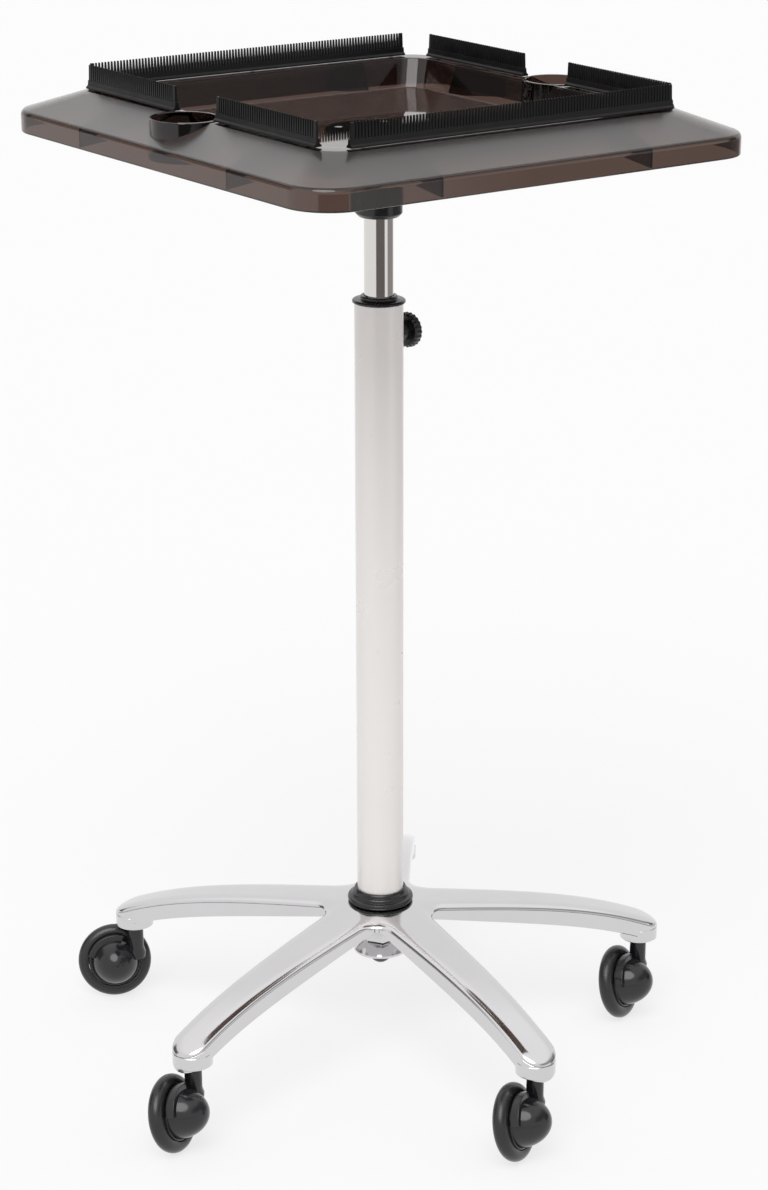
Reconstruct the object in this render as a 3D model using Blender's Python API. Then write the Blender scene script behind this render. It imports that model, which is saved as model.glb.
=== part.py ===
"""Rolling tray stand: a square see-through tray with comb strips on a telescopic column, a five-arm star base
and five hooded ball casters. Metres, +Z up, the column on the Z axis and the floor at z = 0. The tray's long
combs face -Y and +Y, and its round holders are on the -X and +X sides."""

import bpy
import bmesh
from math import asin, cos, hypot, pi, radians, sin, sqrt
from mathutils import Matrix, Vector

# Clearances
GAP = 0.0003
WHEEL_GAP = 0.0006

# Tray: half size of its square outline, and from there inwards and downwards
TRAY_HALF = 0.214
TRAY_CORNER = 0.036
SKIRT_HEIGHT = 0.0165
SLOPE_WIDTH = 0.042
SLOPE_DROP = 0.0173
LEDGE_CORNER = 0.026
LEDGE_WIDTH = 0.015
TRAY_WALL = 0.0025
WELL_DEPTH = 0.0231
WELL_DRAFT = 0.009
WELL_CORNER = 0.020
CORNER_STEPS = 4

# Tray ribs inside the skirt
RIB_OFFSET = 0.101
RIB_THICKNESS = 0.002
RIB_LIFT = 0.0015

# Round holders on the left and right sides
CUP_RADIUS = 0.0275
CUP_WALL = 0.0025
CUP_OUTSET = 0.004
CUP_SHIFT = 0.0082
CUP_DEPTH = 0.0275
CUP_RIM = 0.0008
CUP_SEGMENTS = 16

# Combs: the room a strip leaves on its side of the ledge
COMB_INSET = 0.0065
COMB_LIFT = 0.0008
COMB_HEIGHT = 0.0185
COMB_THICKNESS = 0.0022
RAIL_HEIGHT = 0.0064
RAIL_THICKNESS = 0.0034
FOOT_HEIGHT = 0.0026
FOOT_WIDTH = 0.0068
TOOTH_PITCH = 0.0034
TOOTH_TIP = 0.0015
END_TOOTH = 0.0042
LONG_COMB_ROOM = 0.033
LONG_COMB_SHIFT = 0.0065
REAR_COMB_ROOM = 0.0475
FRONT_COMB_ROOM = 0.0435
COMB_END_GAP = 0.0006
FOOT_END = 0.0008
POST_RADIUS = 0.0019
POST_INSET = 0.012
POST_SPACING = 0.140
POST_SEGMENTS = 6

# Socket under the tray and its screws
SOCKET_RADIUS = 0.0192
SOCKET_LENGTH = 0.0671
SOCKET_CHAMFER = 0.003
PLATE_RADIUS = 0.043
PLATE_THICKNESS = 0.005
MAST_INSERT = 0.052
SCREW_CIRCLE = 0.032
SCREW_RADIUS = 0.0015
SCREW_HEAD_RADIUS = 0.0029
SCREW_HEAD_HEIGHT = 0.0016
SCREW_SINK = 0.00015
SCREW_BITE = 0.0040
SCREW_COUNT = 4

# Mast and column
MAST_RADIUS = 0.012
MAST_WALL = 0.0015
MAST_LENGTH = 0.468
MAST_SHOWS = 0.070
GLIDE_HEIGHT = 0.060
GLIDE_SHOULDER = 0.010
COLUMN_RADIUS = 0.020
COLUMN_WALL = 0.0015
COLUMN_TOP = 0.668
BUSH_FLANGE = 0.0028
BUSH_FLANGE_RADIUS = 0.0218
BUSH_DEPTH = 0.012
BUSH_LIP_RADIUS = 0.0155
BUSH_LIP = 0.003
TURN_SEGMENTS = 18
SMALL_SEGMENTS = 10
SCREW_SEGMENTS = 8

# Clamp
CLAMP_DROP = 0.0285
CLAMP_ANGLE = radians(10.0)
BOSS_RADIUS = 0.0085
BOSS_REACH = 0.0262
BOSS_CHAMFER = 0.001
CLAMP_SCREW_RADIUS = 0.004
PAD_LENGTH = 0.0027
KNOB_RADIUS = 0.0145
KNOB_LENGTH = 0.0115
KNOB_LOBES = 7
KNOB_LOBE_DEPTH = 0.0011
KNOB_BORE_DEPTH = 0.007
KNOB_CHAMFER = 0.0016
COLLAR_RADIUS = 0.0078
COLLAR_LENGTH = 0.0035

# Base: heights fall from the hub to the tips
HUB_TOP = 0.1375
HUB_FLAT_RADIUS = 0.030
HUB_BOTTOM = 0.1192
HUB_FLOOR = 0.004
HUB_BOSS_RADIUS = 0.0255
ARM_COUNT = 5
FIRST_ARM = radians(-94.8)
STEM_CIRCLE = 0.2409
ARM_STRAIGHT_DROP = 0.0265
ARM_CURVED_DROP = 0.0150
ARM_ROOT_HALF_WIDTH = 0.0232
ARM_TIP_HALF_WIDTH = 0.0168
ARM_WALL_HEIGHT = 0.0191
ARM_ROOT_LIFT = 0.0071
ARM_SKIN = 0.0036
CROTCH_RADIUS = 0.018
INNER_CROTCH_RADIUS = 0.005
PLATE_THICKNESS_ARM = 0.0042
LIP_WIDTH = 0.0034
LIP_DROP = 0.0020
WALL_INSET = 0.0004
ARM_STEPS = 4
CHANNEL_START = 0.046
TIP_BOTTOM = 0.0727
TIP_BOSS_RADIUS = 0.0170
TIP_SEGMENTS = 12
EDGE_ARC_STEPS = 3
TIP_ARC_STEPS = 3
RING_RADIUS = 0.0286
RING_HEIGHT = 0.012
SPACER_ACROSS_FLATS = 0.0265
WASHER_RADIUS = 0.0235
WASHER_RIM_Z = 0.0893
WASHER_THICKNESS = 0.0022
WASHER_RISE = 0.0083
BOLT_RADIUS = 0.005
BOLT_HEAD_RADIUS = 0.0100
BOLT_HEAD_BOTTOM = 0.0763
BOLT_BITE = 0.018
PLUG_HEIGHT = 0.028

# Casters
STEM_RADIUS = 0.0055
STEM_SOCKET_DEPTH = 0.0145
STEM_SINK = 0.012
NECK_RADIUS = 0.0073
WHEEL_RADIUS = 0.0334
TYRE_WIDTH = 0.0134
TYRE_SEAT = 0.0240
WHEEL_TILT = radians(13.9)
TRAIL = 0.0188
SIDE_OFFSET = 0.0105
DOME_RADIUS = 0.0218
DOME_REACH = 0.0330
DOME_START = 0.0046
DOME_WALL = 0.0022
RIM_FLANGE = 0.0013
RIM_FLANGE_WIDTH = 0.0016
AXLE_RADIUS = 0.003
AXLE_BOSS_WALL = 0.0026
AXLE_DEPTH = 0.026
AXLE_GRIP = 0.0070
WHEEL_FACE = 0.0038
WHEEL_BACK = 0.0044
WHEEL_SEGMENTS = 16
HOOD_SEGMENTS = 12
DOME_STEPS = 4
TYRE_STEPS = 5
FIN_THICKNESS = 0.0032
FIN_WIDTH = 0.0077
FIN_SINK = 0.0031
FIN_LOW = radians(-18.0)
FIN_HIGH = radians(74.0)
FIN_STEPS = 4
NECK_SINK = 0.0065
CASTER_TURN = [radians(a) for a in (-61.2, -63.3, -61.2, -117.9, -59.9)]

COLOURS = {
    "smoked_plastic": ((0.045, 0.040, 0.042), 0.16, 0.0),
    "comb_plastic": ((0.012, 0.012, 0.012), 0.42, 0.0),
    "black_plastic": ((0.016, 0.016, 0.017), 0.35, 0.0),
    "hood_plastic": ((0.030, 0.030, 0.033), 0.30, 0.0),
    "tyre_rubber": ((0.022, 0.022, 0.024), 0.48, 0.0),
    "chrome": ((0.60, 0.59, 0.58), 0.12, 1.0),
    "satin_white": ((0.74, 0.72, 0.71), 0.32, 0.2),
    "polished_aluminium": ((0.70, 0.69, 0.70), 0.20, 1.0),
    "zinc_steel": ((0.45, 0.45, 0.46), 0.35, 1.0),
    "nylon": ((0.55, 0.54, 0.50), 0.50, 0.0),
}


def clear_scene():
    for obj in list(bpy.data.objects):
        bpy.data.objects.remove(obj, do_unlink=True)


def material(name):
    found = bpy.data.materials.get(name)
    if found:
        return found
    colour, roughness, metallic = COLOURS[name]
    made = bpy.data.materials.new(name)
    made.use_nodes = True
    shader = made.node_tree.nodes["Principled BSDF"]
    shader.inputs["Base Color"].default_value = (*colour, 1.0)
    shader.inputs["Roughness"].default_value = roughness
    shader.inputs["Metallic"].default_value = metallic
    return made


def new_object(name, bm, material_name, smooth_angle=35.0):
    bmesh.ops.remove_doubles(bm, verts=bm.verts, dist=1e-6)
    bmesh.ops.recalc_face_normals(bm, faces=bm.faces)
    mesh = bpy.data.meshes.new(name)
    bm.to_mesh(mesh)
    bm.free()
    obj = bpy.data.objects.new(name, mesh)
    bpy.context.scene.collection.objects.link(obj)
    mesh.materials.append(material(material_name))
    mesh.shade_smooth()
    mesh.set_sharp_from_angle(angle=radians(smooth_angle))
    return obj


def helper(name, bm):
    """A cutter, or a shape that is joined to another: drawn as wire and left out of the model."""
    bmesh.ops.remove_doubles(bm, verts=bm.verts, dist=1e-6)
    bmesh.ops.recalc_face_normals(bm, faces=bm.faces)
    mesh = bpy.data.meshes.new(name)
    bm.to_mesh(mesh)
    bm.free()
    obj = bpy.data.objects.new(name, mesh)
    bpy.context.scene.collection.objects.link(obj)
    obj.hide_render = True
    obj.display_type = "WIRE"
    return obj


def boolean(obj, other, operation, solver="EXACT"):
    modifier = obj.modifiers.new(operation.title() + " " + other.name, "BOOLEAN")
    modifier.operation = operation
    modifier.solver = solver
    modifier.object = other


def add_loft(bm, rings, capped=True):
    """Bridges rings of equal length. Capped ends get one face each, or the last ring meets the first."""
    made = [[bm.verts.new(p) for p in ring] for ring in rings]
    pairs = list(zip(made, made[1:]))
    if not capped:
        pairs.append((made[-1], made[0]))
    count = len(made[0])
    for low, high in pairs:
        for i in range(count):
            j = (i + 1) % count
            bm.faces.new((low[i], low[j], high[j], high[i]))
    if capped:
        bm.faces.new(made[0][::-1])
        bm.faces.new(made[-1])


def add_turned(bm, profile, segments, matrix=Matrix()):
    """Turns a closed outline of (radius, height) about Z. A radius of 0 becomes one point on the axis."""
    columns = []
    for radius, height in profile:
        if radius < 1e-9:
            columns.append([bm.verts.new(matrix @ Vector((0.0, 0.0, height)))] * segments)
            continue
        ring = []
        for k in range(segments):
            a = 2 * pi * k / segments
            ring.append(bm.verts.new(matrix @ Vector((radius * cos(a), radius * sin(a), height))))
        columns.append(ring)
    for low, high in zip(columns, columns[1:] + columns[:1]):
        if low[0] is low[1] and high[0] is high[1]:
            continue
        for k in range(segments):
            j = (k + 1) % segments
            corners = []
            for vert in (low[k], low[j], high[j], high[k]):
                if vert not in corners:
                    corners.append(vert)
            bm.faces.new(corners)


def turned(name, profile, segments, material_name, matrix=Matrix()):
    bm = bmesh.new()
    add_turned(bm, profile, segments, matrix)
    return new_object(name, bm, material_name)


def cylinder_profile(radius, low, high):
    return [(0.0, low), (radius, low), (radius, high), (0.0, high)]


def tube_profile(inner, outer, low, high):
    return [(inner, low), (outer, low), (outer, high), (inner, high)]


def rounded_square(half, corner, z, steps=CORNER_STEPS):
    points = []
    for quarter in range(4):
        start = quarter * pi / 2
        cx = (half - corner) * (1 if quarter in (0, 3) else -1)
        cy = (half - corner) * (1 if quarter in (0, 1) else -1)
        for k in range(steps + 1):
            a = start + (pi / 2) * k / steps
            points.append(Vector((cx + corner * cos(a), cy + corner * sin(a), z)))
    return points


def turned_to(angle, matrix=Matrix()):
    """Points local +Z outwards along the given heading."""
    return Matrix.Rotation(angle, 4, "Z") @ Matrix.Rotation(pi / 2, 4, "Y") @ matrix


# Heights from the column's top upwards, and half sizes from the skirt inwards
socket_bottom = COLUMN_TOP + MAST_SHOWS
mast_top = socket_bottom + MAST_INSERT
plate_top = socket_bottom + SOCKET_LENGTH
tray_underside = plate_top + GAP
tray_floor = tray_underside + TRAY_WALL
ledge_z = tray_floor + WELL_DEPTH
slope_foot = ledge_z - SLOPE_DROP
skirt_bottom = slope_foot - SKIRT_HEIGHT
ledge_half = TRAY_HALF - SLOPE_WIDTH
well_half = ledge_half - LEDGE_WIDTH
floor_half = well_half - WELL_DRAFT
cup_centre = ledge_half + CUP_OUTSET
comb_centre = ledge_half - COMB_INSET


def shell_outline():
    """Half size, corner radius and height of each ring, from the floor over the rim and back underneath."""
    t = TRAY_WALL
    return [
        (floor_half, WELL_CORNER, tray_floor),
        (well_half, WELL_CORNER, ledge_z),
        (ledge_half, LEDGE_CORNER, ledge_z),
        (TRAY_HALF, TRAY_CORNER, slope_foot),
        (TRAY_HALF, TRAY_CORNER, skirt_bottom),
        (TRAY_HALF - t, TRAY_CORNER - t, skirt_bottom),
        (TRAY_HALF - t, TRAY_CORNER - t, slope_foot - t / 2),
        (ledge_half - t / 2, LEDGE_CORNER - t / 2, ledge_z - t),
        (well_half + t, WELL_CORNER + t, ledge_z - t),
        (floor_half + t, WELL_CORNER + t, tray_underside),
    ]


def skirt_ribs():
    """Two upright ribs behind each side of the skirt, under the slope."""
    bm = bmesh.new()
    outer = TRAY_HALF - TRAY_WALL / 2
    inner = well_half + TRAY_WALL / 2
    ledge = ledge_half - TRAY_WALL
    profile = [
        (outer, skirt_bottom + RIB_LIFT),
        (outer, slope_foot - TRAY_WALL / 2),
        (ledge, ledge_z - TRAY_WALL / 2),
        (inner, ledge_z - TRAY_WALL / 2),
        (inner - WELL_DRAFT, tray_floor),
        (inner - WELL_DRAFT, tray_underside + TRAY_WALL / 4),
    ]
    for quarter in range(4):
        turn = Matrix.Rotation(quarter * pi / 2, 4, "Z")
        for side in (-1, 1):
            y = side * RIB_OFFSET
            rings = []
            for edge in (y - RIB_THICKNESS / 2, y + RIB_THICKNESS / 2):
                rings.append([turn @ Vector((x, edge, z)) for x, z in profile])
            add_loft(bm, rings)
    return helper("skirt_ribs", bm)


def cup_places():
    return [Vector((cup_centre, -CUP_SHIFT, 0.0)), Vector((-cup_centre, CUP_SHIFT, 0.0))]


def tray_shell():
    bm = bmesh.new()
    rings = [rounded_square(half, corner, z) for half, corner, z in shell_outline()]
    add_loft(bm, rings)
    shell = new_object("tray_shell", bm, "smoked_plastic")
    boolean(shell, skirt_ribs(), "UNION", "MANIFOLD")
    floor = ledge_z - CUP_DEPTH
    cups = bmesh.new()
    hollows = bmesh.new()
    for place in cup_places():
        at = Matrix.Translation(place)
        add_turned(cups, cylinder_profile(CUP_RADIUS, floor - CUP_WALL, ledge_z + CUP_RIM), CUP_SEGMENTS, at)
        inside = CUP_RADIUS - CUP_WALL
        add_turned(hollows, cylinder_profile(inside, floor, ledge_z + 4 * CUP_RIM), CUP_SEGMENTS, at)
    boolean(shell, helper("cup_bodies", cups), "UNION", "MANIFOLD")
    boolean(shell, helper("cup_hollows", hollows), "DIFFERENCE", "MANIFOLD")
    holes = bmesh.new()
    mouth = SCREW_HEAD_RADIUS + 2 * GAP
    hole = [
        (0.0, tray_underside - TRAY_WALL),
        (SCREW_RADIUS + GAP, tray_underside - TRAY_WALL),
        (SCREW_RADIUS + GAP, tray_floor - SCREW_HEAD_HEIGHT - GAP),
        (mouth, tray_floor),
        (mouth, tray_floor + TRAY_WALL),
        (0.0, tray_floor + TRAY_WALL),
    ]
    for place in screw_places():
        add_turned(holes, hole, SCREW_SEGMENTS, Matrix.Translation(place))
    boolean(shell, helper("tray_screw_holes", holes), "DIFFERENCE", "MANIFOLD")
    return shell


# Combs
rail_z = ledge_z + COMB_LIFT


def comb_outline(length):
    """Side view above the foot: the rail, and tapered teeth with a wide soft-cornered one at each end."""
    low = rail_z + FOOT_HEIGHT
    root = rail_z + RAIL_HEIGHT
    top = rail_z + COMB_HEIGHT
    half = length / 2
    soft = END_TOOTH / 3
    points = [(-half, low), (-half, top - soft), (-half + soft, top), (-half + END_TOOTH, top)]
    free = length - 2 * END_TOOTH
    count = round(free / TOOTH_PITCH)
    space = (free - count * TOOTH_TIP) / (count + 1)
    x = -half + END_TOOTH
    for _ in range(count):
        points += [(x + space / 2, root), (x + space, top), (x + space + TOOTH_TIP, top)]
        x += space + TOOTH_TIP
    points += [(x + space / 2, root), (half - END_TOOTH, top)]
    points += [(half - soft, top), (half, top - soft), (half, low)]
    return points


def add_comb_foot(bm, length):
    """The rail's flared foot, a little longer than the rail."""
    half = length / 2
    section = [
        (-FOOT_WIDTH / 2, rail_z),
        (FOOT_WIDTH / 2, rail_z),
        (FOOT_WIDTH / 2, rail_z + FOOT_HEIGHT * 0.6),
        (RAIL_THICKNESS / 2, rail_z + FOOT_HEIGHT),
        (RAIL_THICKNESS / 2, rail_z + RAIL_HEIGHT * 0.75),
        (-RAIL_THICKNESS / 2, rail_z + RAIL_HEIGHT * 0.75),
        (-RAIL_THICKNESS / 2, rail_z + FOOT_HEIGHT),
        (-FOOT_WIDTH / 2, rail_z + FOOT_HEIGHT * 0.6),
    ]
    rings = []
    for x in (-half - FOOT_END, half + FOOT_END):
        rings.append([Vector((x, y, z)) for y, z in section])
    add_loft(bm, rings)


def comb_posts(length):
    end = length / 2 - POST_INSET
    spaces = max(1, round(2 * end / POST_SPACING))
    return [-end + 2 * end * k / spaces for k in range(spaces + 1)]


def comb(name, length, centre, heading):
    """A comb strip along local X, standing on posts on the ledge."""
    bm = bmesh.new()
    outline = comb_outline(length)
    rings = []
    for y in (-COMB_THICKNESS / 2, COMB_THICKNESS / 2):
        rings.append([Vector((x, y, z)) for x, z in outline])
    add_loft(bm, rings)
    obj = new_object(name, bm, "comb_plastic", 20.0)
    foot = bmesh.new()
    add_comb_foot(foot, length)
    foot_obj = helper(name + "_foot", foot)
    posts = bmesh.new()
    for x in comb_posts(length):
        post = cylinder_profile(POST_RADIUS, ledge_z + GAP, rail_z + FOOT_HEIGHT / 2)
        add_turned(posts, post, POST_SEGMENTS, Matrix.Translation((x, 0.0, 0.0)))
    posts_obj = helper(name + "_posts", posts)
    boolean(obj, foot_obj, "UNION")
    boolean(obj, posts_obj, "UNION")
    place = Matrix.Translation(centre) @ Matrix.Rotation(heading, 4, "Z")
    for piece in (obj, foot_obj, posts_obj):
        piece.matrix_world = place
    return obj


def combs():
    """The front and left combs are set out, and the back and right ones are half a turn from them."""
    beside = cup_centre - comb_centre - FOOT_WIDTH / 2
    reach = sqrt(CUP_RADIUS**2 - beside**2) + COMB_END_GAP + FOOT_END
    across = 2 * ledge_half - LONG_COMB_ROOM
    rear = ledge_half - REAR_COMB_ROOM
    front = ledge_half - FRONT_COMB_ROOM
    rear_centre = Vector((-comb_centre, CUP_SHIFT + reach + rear / 2, 0.0))
    front_centre = Vector((-comb_centre, CUP_SHIFT - reach - front / 2, 0.0))
    layout = [
        ("front", "back", across, Vector((LONG_COMB_SHIFT, -comb_centre, 0.0)), 0.0),
        ("left_rear", "right_front", rear, rear_centre, -pi / 2),
        ("left_front", "right_rear", front, front_centre, -pi / 2),
    ]
    for name, opposite, length, centre, heading in layout:
        comb("comb_" + name, length, centre, heading)
        comb("comb_" + opposite, length, Vector((-centre.x, -centre.y, 0.0)), heading + pi)


# Socket and screws


def screw_places():
    places = []
    for k in range(SCREW_COUNT):
        a = 2 * pi * (k + 0.5) / SCREW_COUNT
        places.append(Vector((SCREW_CIRCLE * cos(a), SCREW_CIRCLE * sin(a), 0.0)))
    return places


def tray_socket():
    bore = MAST_RADIUS + GAP
    plate_low = plate_top - PLATE_THICKNESS
    flare = (PLATE_RADIUS - SOCKET_RADIUS) / 4
    profile = [
        (0.0, plate_top),
        (0.0, mast_top + GAP),
        (bore, mast_top + GAP),
        (bore, socket_bottom),
        (SOCKET_RADIUS - SOCKET_CHAMFER, socket_bottom),
        (SOCKET_RADIUS, socket_bottom + SOCKET_CHAMFER),
        (SOCKET_RADIUS, plate_low - flare),
        (SOCKET_RADIUS + flare, plate_low),
        (PLATE_RADIUS, plate_low),
        (PLATE_RADIUS, plate_top),
    ]
    socket = turned("tray_socket", profile, TURN_SEGMENTS, "black_plastic")
    holes = bmesh.new()
    for place in screw_places():
        hole = cylinder_profile(SCREW_RADIUS + GAP, plate_top - SCREW_BITE - GAP, plate_top + PLATE_THICKNESS)
        add_turned(holes, hole, SCREW_SEGMENTS, Matrix.Translation(place))
    boolean(socket, helper("socket_screw_holes", holes), "DIFFERENCE")


def socket_screws():
    """Countersunk screws, flush with the tray's floor, that hold the socket up to it."""
    top = tray_floor - SCREW_SINK
    profile = [
        (0.0, plate_top - SCREW_BITE),
        (SCREW_RADIUS, plate_top - SCREW_BITE),
        (SCREW_RADIUS, top - SCREW_HEAD_HEIGHT),
        (SCREW_HEAD_RADIUS, top),
        (0.0, top),
    ]
    for k, place in enumerate(screw_places()):
        screw = turned("socket_screw_%d" % (k + 1), profile, SCREW_SEGMENTS, "zinc_steel")
        screw.location = place


# Mast and column
column_inner = COLUMN_RADIUS - COLUMN_WALL
slide_radius = column_inner - GAP
column_foot = HUB_BOTTOM + HUB_FLOOR + GAP
mast_inner = MAST_RADIUS - MAST_WALL
mast_foot = mast_top - MAST_LENGTH
clamp_z = COLUMN_TOP - CLAMP_DROP


def inner_tube():
    profile = tube_profile(mast_inner, MAST_RADIUS, mast_foot, mast_top)
    return turned("inner_tube", profile, TURN_SEGMENTS, "chrome")


def tube_glide():
    """A plug up the inside of the mast's foot, with a collar below it that slides in the column."""
    plug = mast_inner - GAP
    collar_top = mast_foot - GAP
    profile = [
        (0.0, collar_top - GLIDE_HEIGHT / 2),
        (slide_radius * 0.94, collar_top - GLIDE_HEIGHT / 2),
        (slide_radius, collar_top - GLIDE_HEIGHT / 2 + GLIDE_SHOULDER / 4),
        (slide_radius, collar_top),
        (plug, collar_top),
        (plug, collar_top + GLIDE_HEIGHT / 2),
        (0.0, collar_top + GLIDE_HEIGHT / 2),
    ]
    return turned("tube_glide", profile, TURN_SEGMENTS, "nylon")


def column_tube():
    profile = tube_profile(column_inner, COLUMN_RADIUS, column_foot, COLUMN_TOP)
    column = turned("column_tube", profile, TURN_SEGMENTS, "satin_white")
    hole = bmesh.new()
    along = turned_to(CLAMP_ANGLE, Matrix.Translation((0.0, 0.0, column_inner - COLUMN_WALL)))
    length = 3 * COLUMN_WALL
    profile = cylinder_profile(CLAMP_SCREW_RADIUS + GAP, 0.0, length)
    add_turned(hole, profile, SMALL_SEGMENTS, Matrix.Translation((0.0, 0.0, clamp_z)) @ along)
    boolean(column, helper("clamp_hole", hole), "DIFFERENCE")


def column_bush():
    """Flanged bush in the column's mouth that guides the mast."""
    bore = MAST_RADIUS + GAP
    seat = COLUMN_TOP + GAP
    profile = [
        (bore, seat + BUSH_FLANGE + BUSH_LIP),
        (bore, COLUMN_TOP - BUSH_DEPTH),
        (slide_radius, COLUMN_TOP - BUSH_DEPTH),
        (slide_radius, seat),
        (BUSH_FLANGE_RADIUS, seat),
        (BUSH_FLANGE_RADIUS, seat + BUSH_FLANGE * 0.7),
        (BUSH_FLANGE_RADIUS - BUSH_FLANGE * 0.4, seat + BUSH_FLANGE),
        (BUSH_LIP_RADIUS, seat + BUSH_FLANGE),
        (BUSH_LIP_RADIUS, seat + BUSH_FLANGE + BUSH_LIP * 0.7),
        (BUSH_LIP_RADIUS - BUSH_LIP * 0.3, seat + BUSH_FLANGE + BUSH_LIP),
    ]
    return turned("column_bush", profile, TURN_SEGMENTS, "black_plastic")


# Clamp: distances from the column's axis along the clamp's heading
pad_front = MAST_RADIUS + GAP
pad_back = pad_front + PAD_LENGTH
screw_front = pad_back + GAP
knob_front = BOSS_REACH + GAP
screw_back = knob_front + KNOB_BORE_DEPTH - GAP


def clamp_place():
    place = bpy.data.objects.new("clamp_axis", None)
    bpy.context.scene.collection.objects.link(place)
    place.matrix_world = Matrix.Translation((0.0, 0.0, clamp_z)) @ turned_to(CLAMP_ANGLE)
    return place


def clamp_boss(place):
    """Threaded boss on the column, its foot cut to the column's round."""
    bore = CLAMP_SCREW_RADIUS + GAP
    profile = [
        (bore, column_inner),
        (BOSS_RADIUS, column_inner),
        (BOSS_RADIUS, BOSS_REACH - BOSS_CHAMFER),
        (BOSS_RADIUS - BOSS_CHAMFER, BOSS_REACH),
        (bore, BOSS_REACH),
    ]
    boss = turned("clamp_boss", profile, HOOD_SEGMENTS, "black_plastic")
    boss.parent = place
    cut = bmesh.new()
    seat = cylinder_profile(COLUMN_RADIUS + GAP, clamp_z - 2 * BOSS_RADIUS, clamp_z + 2 * BOSS_RADIUS)
    add_turned(cut, seat, TURN_SEGMENTS)
    boolean(boss, helper("boss_seat", cut), "DIFFERENCE")


def knob_outline(radius, height):
    count = KNOB_LOBES * 4
    points = []
    for k in range(count):
        a = 2 * pi * k / count
        r = radius - KNOB_LOBE_DEPTH * (1 + cos(KNOB_LOBES * a)) / 2
        points.append(Vector((r * cos(a), r * sin(a), height)))
    return points


def clamp_knob(place):
    """Lobed disc with a collar at its front, bored for the clamp screw."""
    bm = bmesh.new()
    back = knob_front + KNOB_LENGTH
    collar = knob_front + COLLAR_LENGTH
    rings = [
        knob_outline(COLLAR_RADIUS, knob_front),
        knob_outline(COLLAR_RADIUS, collar),
        knob_outline(KNOB_RADIUS - KNOB_CHAMFER, collar),
        knob_outline(KNOB_RADIUS, collar + KNOB_CHAMFER),
        knob_outline(KNOB_RADIUS, back - KNOB_CHAMFER),
        knob_outline(KNOB_RADIUS - KNOB_CHAMFER, back),
    ]
    add_loft(bm, rings)
    knob = new_object("clamp_knob", bm, "black_plastic")
    knob.parent = place
    bore = bmesh.new()
    bore_end = knob_front + KNOB_BORE_DEPTH
    profile = cylinder_profile(CLAMP_SCREW_RADIUS + GAP, knob_front - COLLAR_LENGTH, bore_end)
    add_turned(bore, profile, SMALL_SEGMENTS)
    bore_obj = helper("knob_bore", bore)
    bore_obj.parent = place
    boolean(knob, bore_obj, "DIFFERENCE")


def clamp():
    place = clamp_place()
    clamp_boss(place)
    clamp_knob(place)
    screw_profile = cylinder_profile(CLAMP_SCREW_RADIUS, screw_front, screw_back)
    screw = turned("clamp_screw", screw_profile, SMALL_SEGMENTS, "zinc_steel")
    pad_profile = cylinder_profile(CLAMP_SCREW_RADIUS, pad_front, pad_back)
    pad = turned("clamp_pad", pad_profile, SMALL_SEGMENTS, "nylon")
    screw.parent = place
    pad.parent = place


# Base
def arm_run(r):
    return max(0.0, (r - HUB_FLAT_RADIUS) / (STEM_CIRCLE - HUB_FLAT_RADIUS))


def arm_top(r):
    """Height of the upper face: level at the hub, then a fall along the arms that bends down at the tips."""
    run = arm_run(r)
    return HUB_TOP - ARM_STRAIGHT_DROP * run - ARM_CURVED_DROP * run**4


def arm_low(r):
    """Height of the walls' lower edge, which rises towards the hub."""
    share = max(0.0, 1.0 - arm_run(r) * 1.35)
    return arm_top(r) - ARM_WALL_HEIGHT + ARM_ROOT_LIFT * share**2


def arm_half_width(x):
    share = max(0.0, 1.0 - arm_run(x))
    return ARM_TIP_HALF_WIDTH + (ARM_ROOT_HALF_WIDTH - ARM_TIP_HALF_WIDTH) * share**1.57


def half_arm_edge(inset, crotch):
    """Plan outline of one half of an arm, from the crotch beside it to the tip, moved in by an inset."""
    half_angle = pi / ARM_COUNT
    tangent = STEM_CIRCLE / 4
    for _ in range(6):
        tangent = (arm_half_width(tangent) + crotch) / sin(half_angle) * cos(half_angle)
    centre_y = tangent * sin(half_angle) / cos(half_angle)
    points = []
    for k in range(EDGE_ARC_STEPS):
        a = half_angle + (pi / 2 - half_angle) * k / EDGE_ARC_STEPS
        points.append((tangent - (crotch + inset) * cos(a), centre_y - (crotch + inset) * sin(a)))
    for k in range(ARM_STEPS):
        x = tangent + (STEM_CIRCLE - tangent) * k / ARM_STEPS
        points.append((x, arm_half_width(x) - inset))
    for k in range(TIP_ARC_STEPS + 1):
        a = pi / 2 * (1 - k / TIP_ARC_STEPS)
        radius = ARM_TIP_HALF_WIDTH - inset
        points.append((STEM_CIRCLE + radius * cos(a), radius * sin(a)))
    points[-1] = (points[-1][0], 0.0)
    return points


def star_layer(bm, edge, height):
    """Points of one level: for each arm its left edge, middle line and right edge, and the hub's ring."""
    arms = []
    for k in range(ARM_COUNT):
        turn = Matrix.Rotation(FIRST_ARM + 2 * pi * k / ARM_COUNT, 4, "Z")
        rows = []
        for x, y in edge:
            row = []
            for across in (y, 0.0, -y):
                row.append(bm.verts.new(turn @ Vector((x, across, height(hypot(x, across))))))
            rows.append(row)
        arms.append(rows)
    hub = []
    for k in range(2 * ARM_COUNT):
        a = FIRST_ARM + pi * k / ARM_COUNT
        r = HUB_FLAT_RADIUS
        hub.append(bm.verts.new((r * cos(a), r * sin(a), height(r))))
    middle = bm.verts.new((0.0, 0.0, height(0.0)))
    return arms, hub, middle


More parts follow.
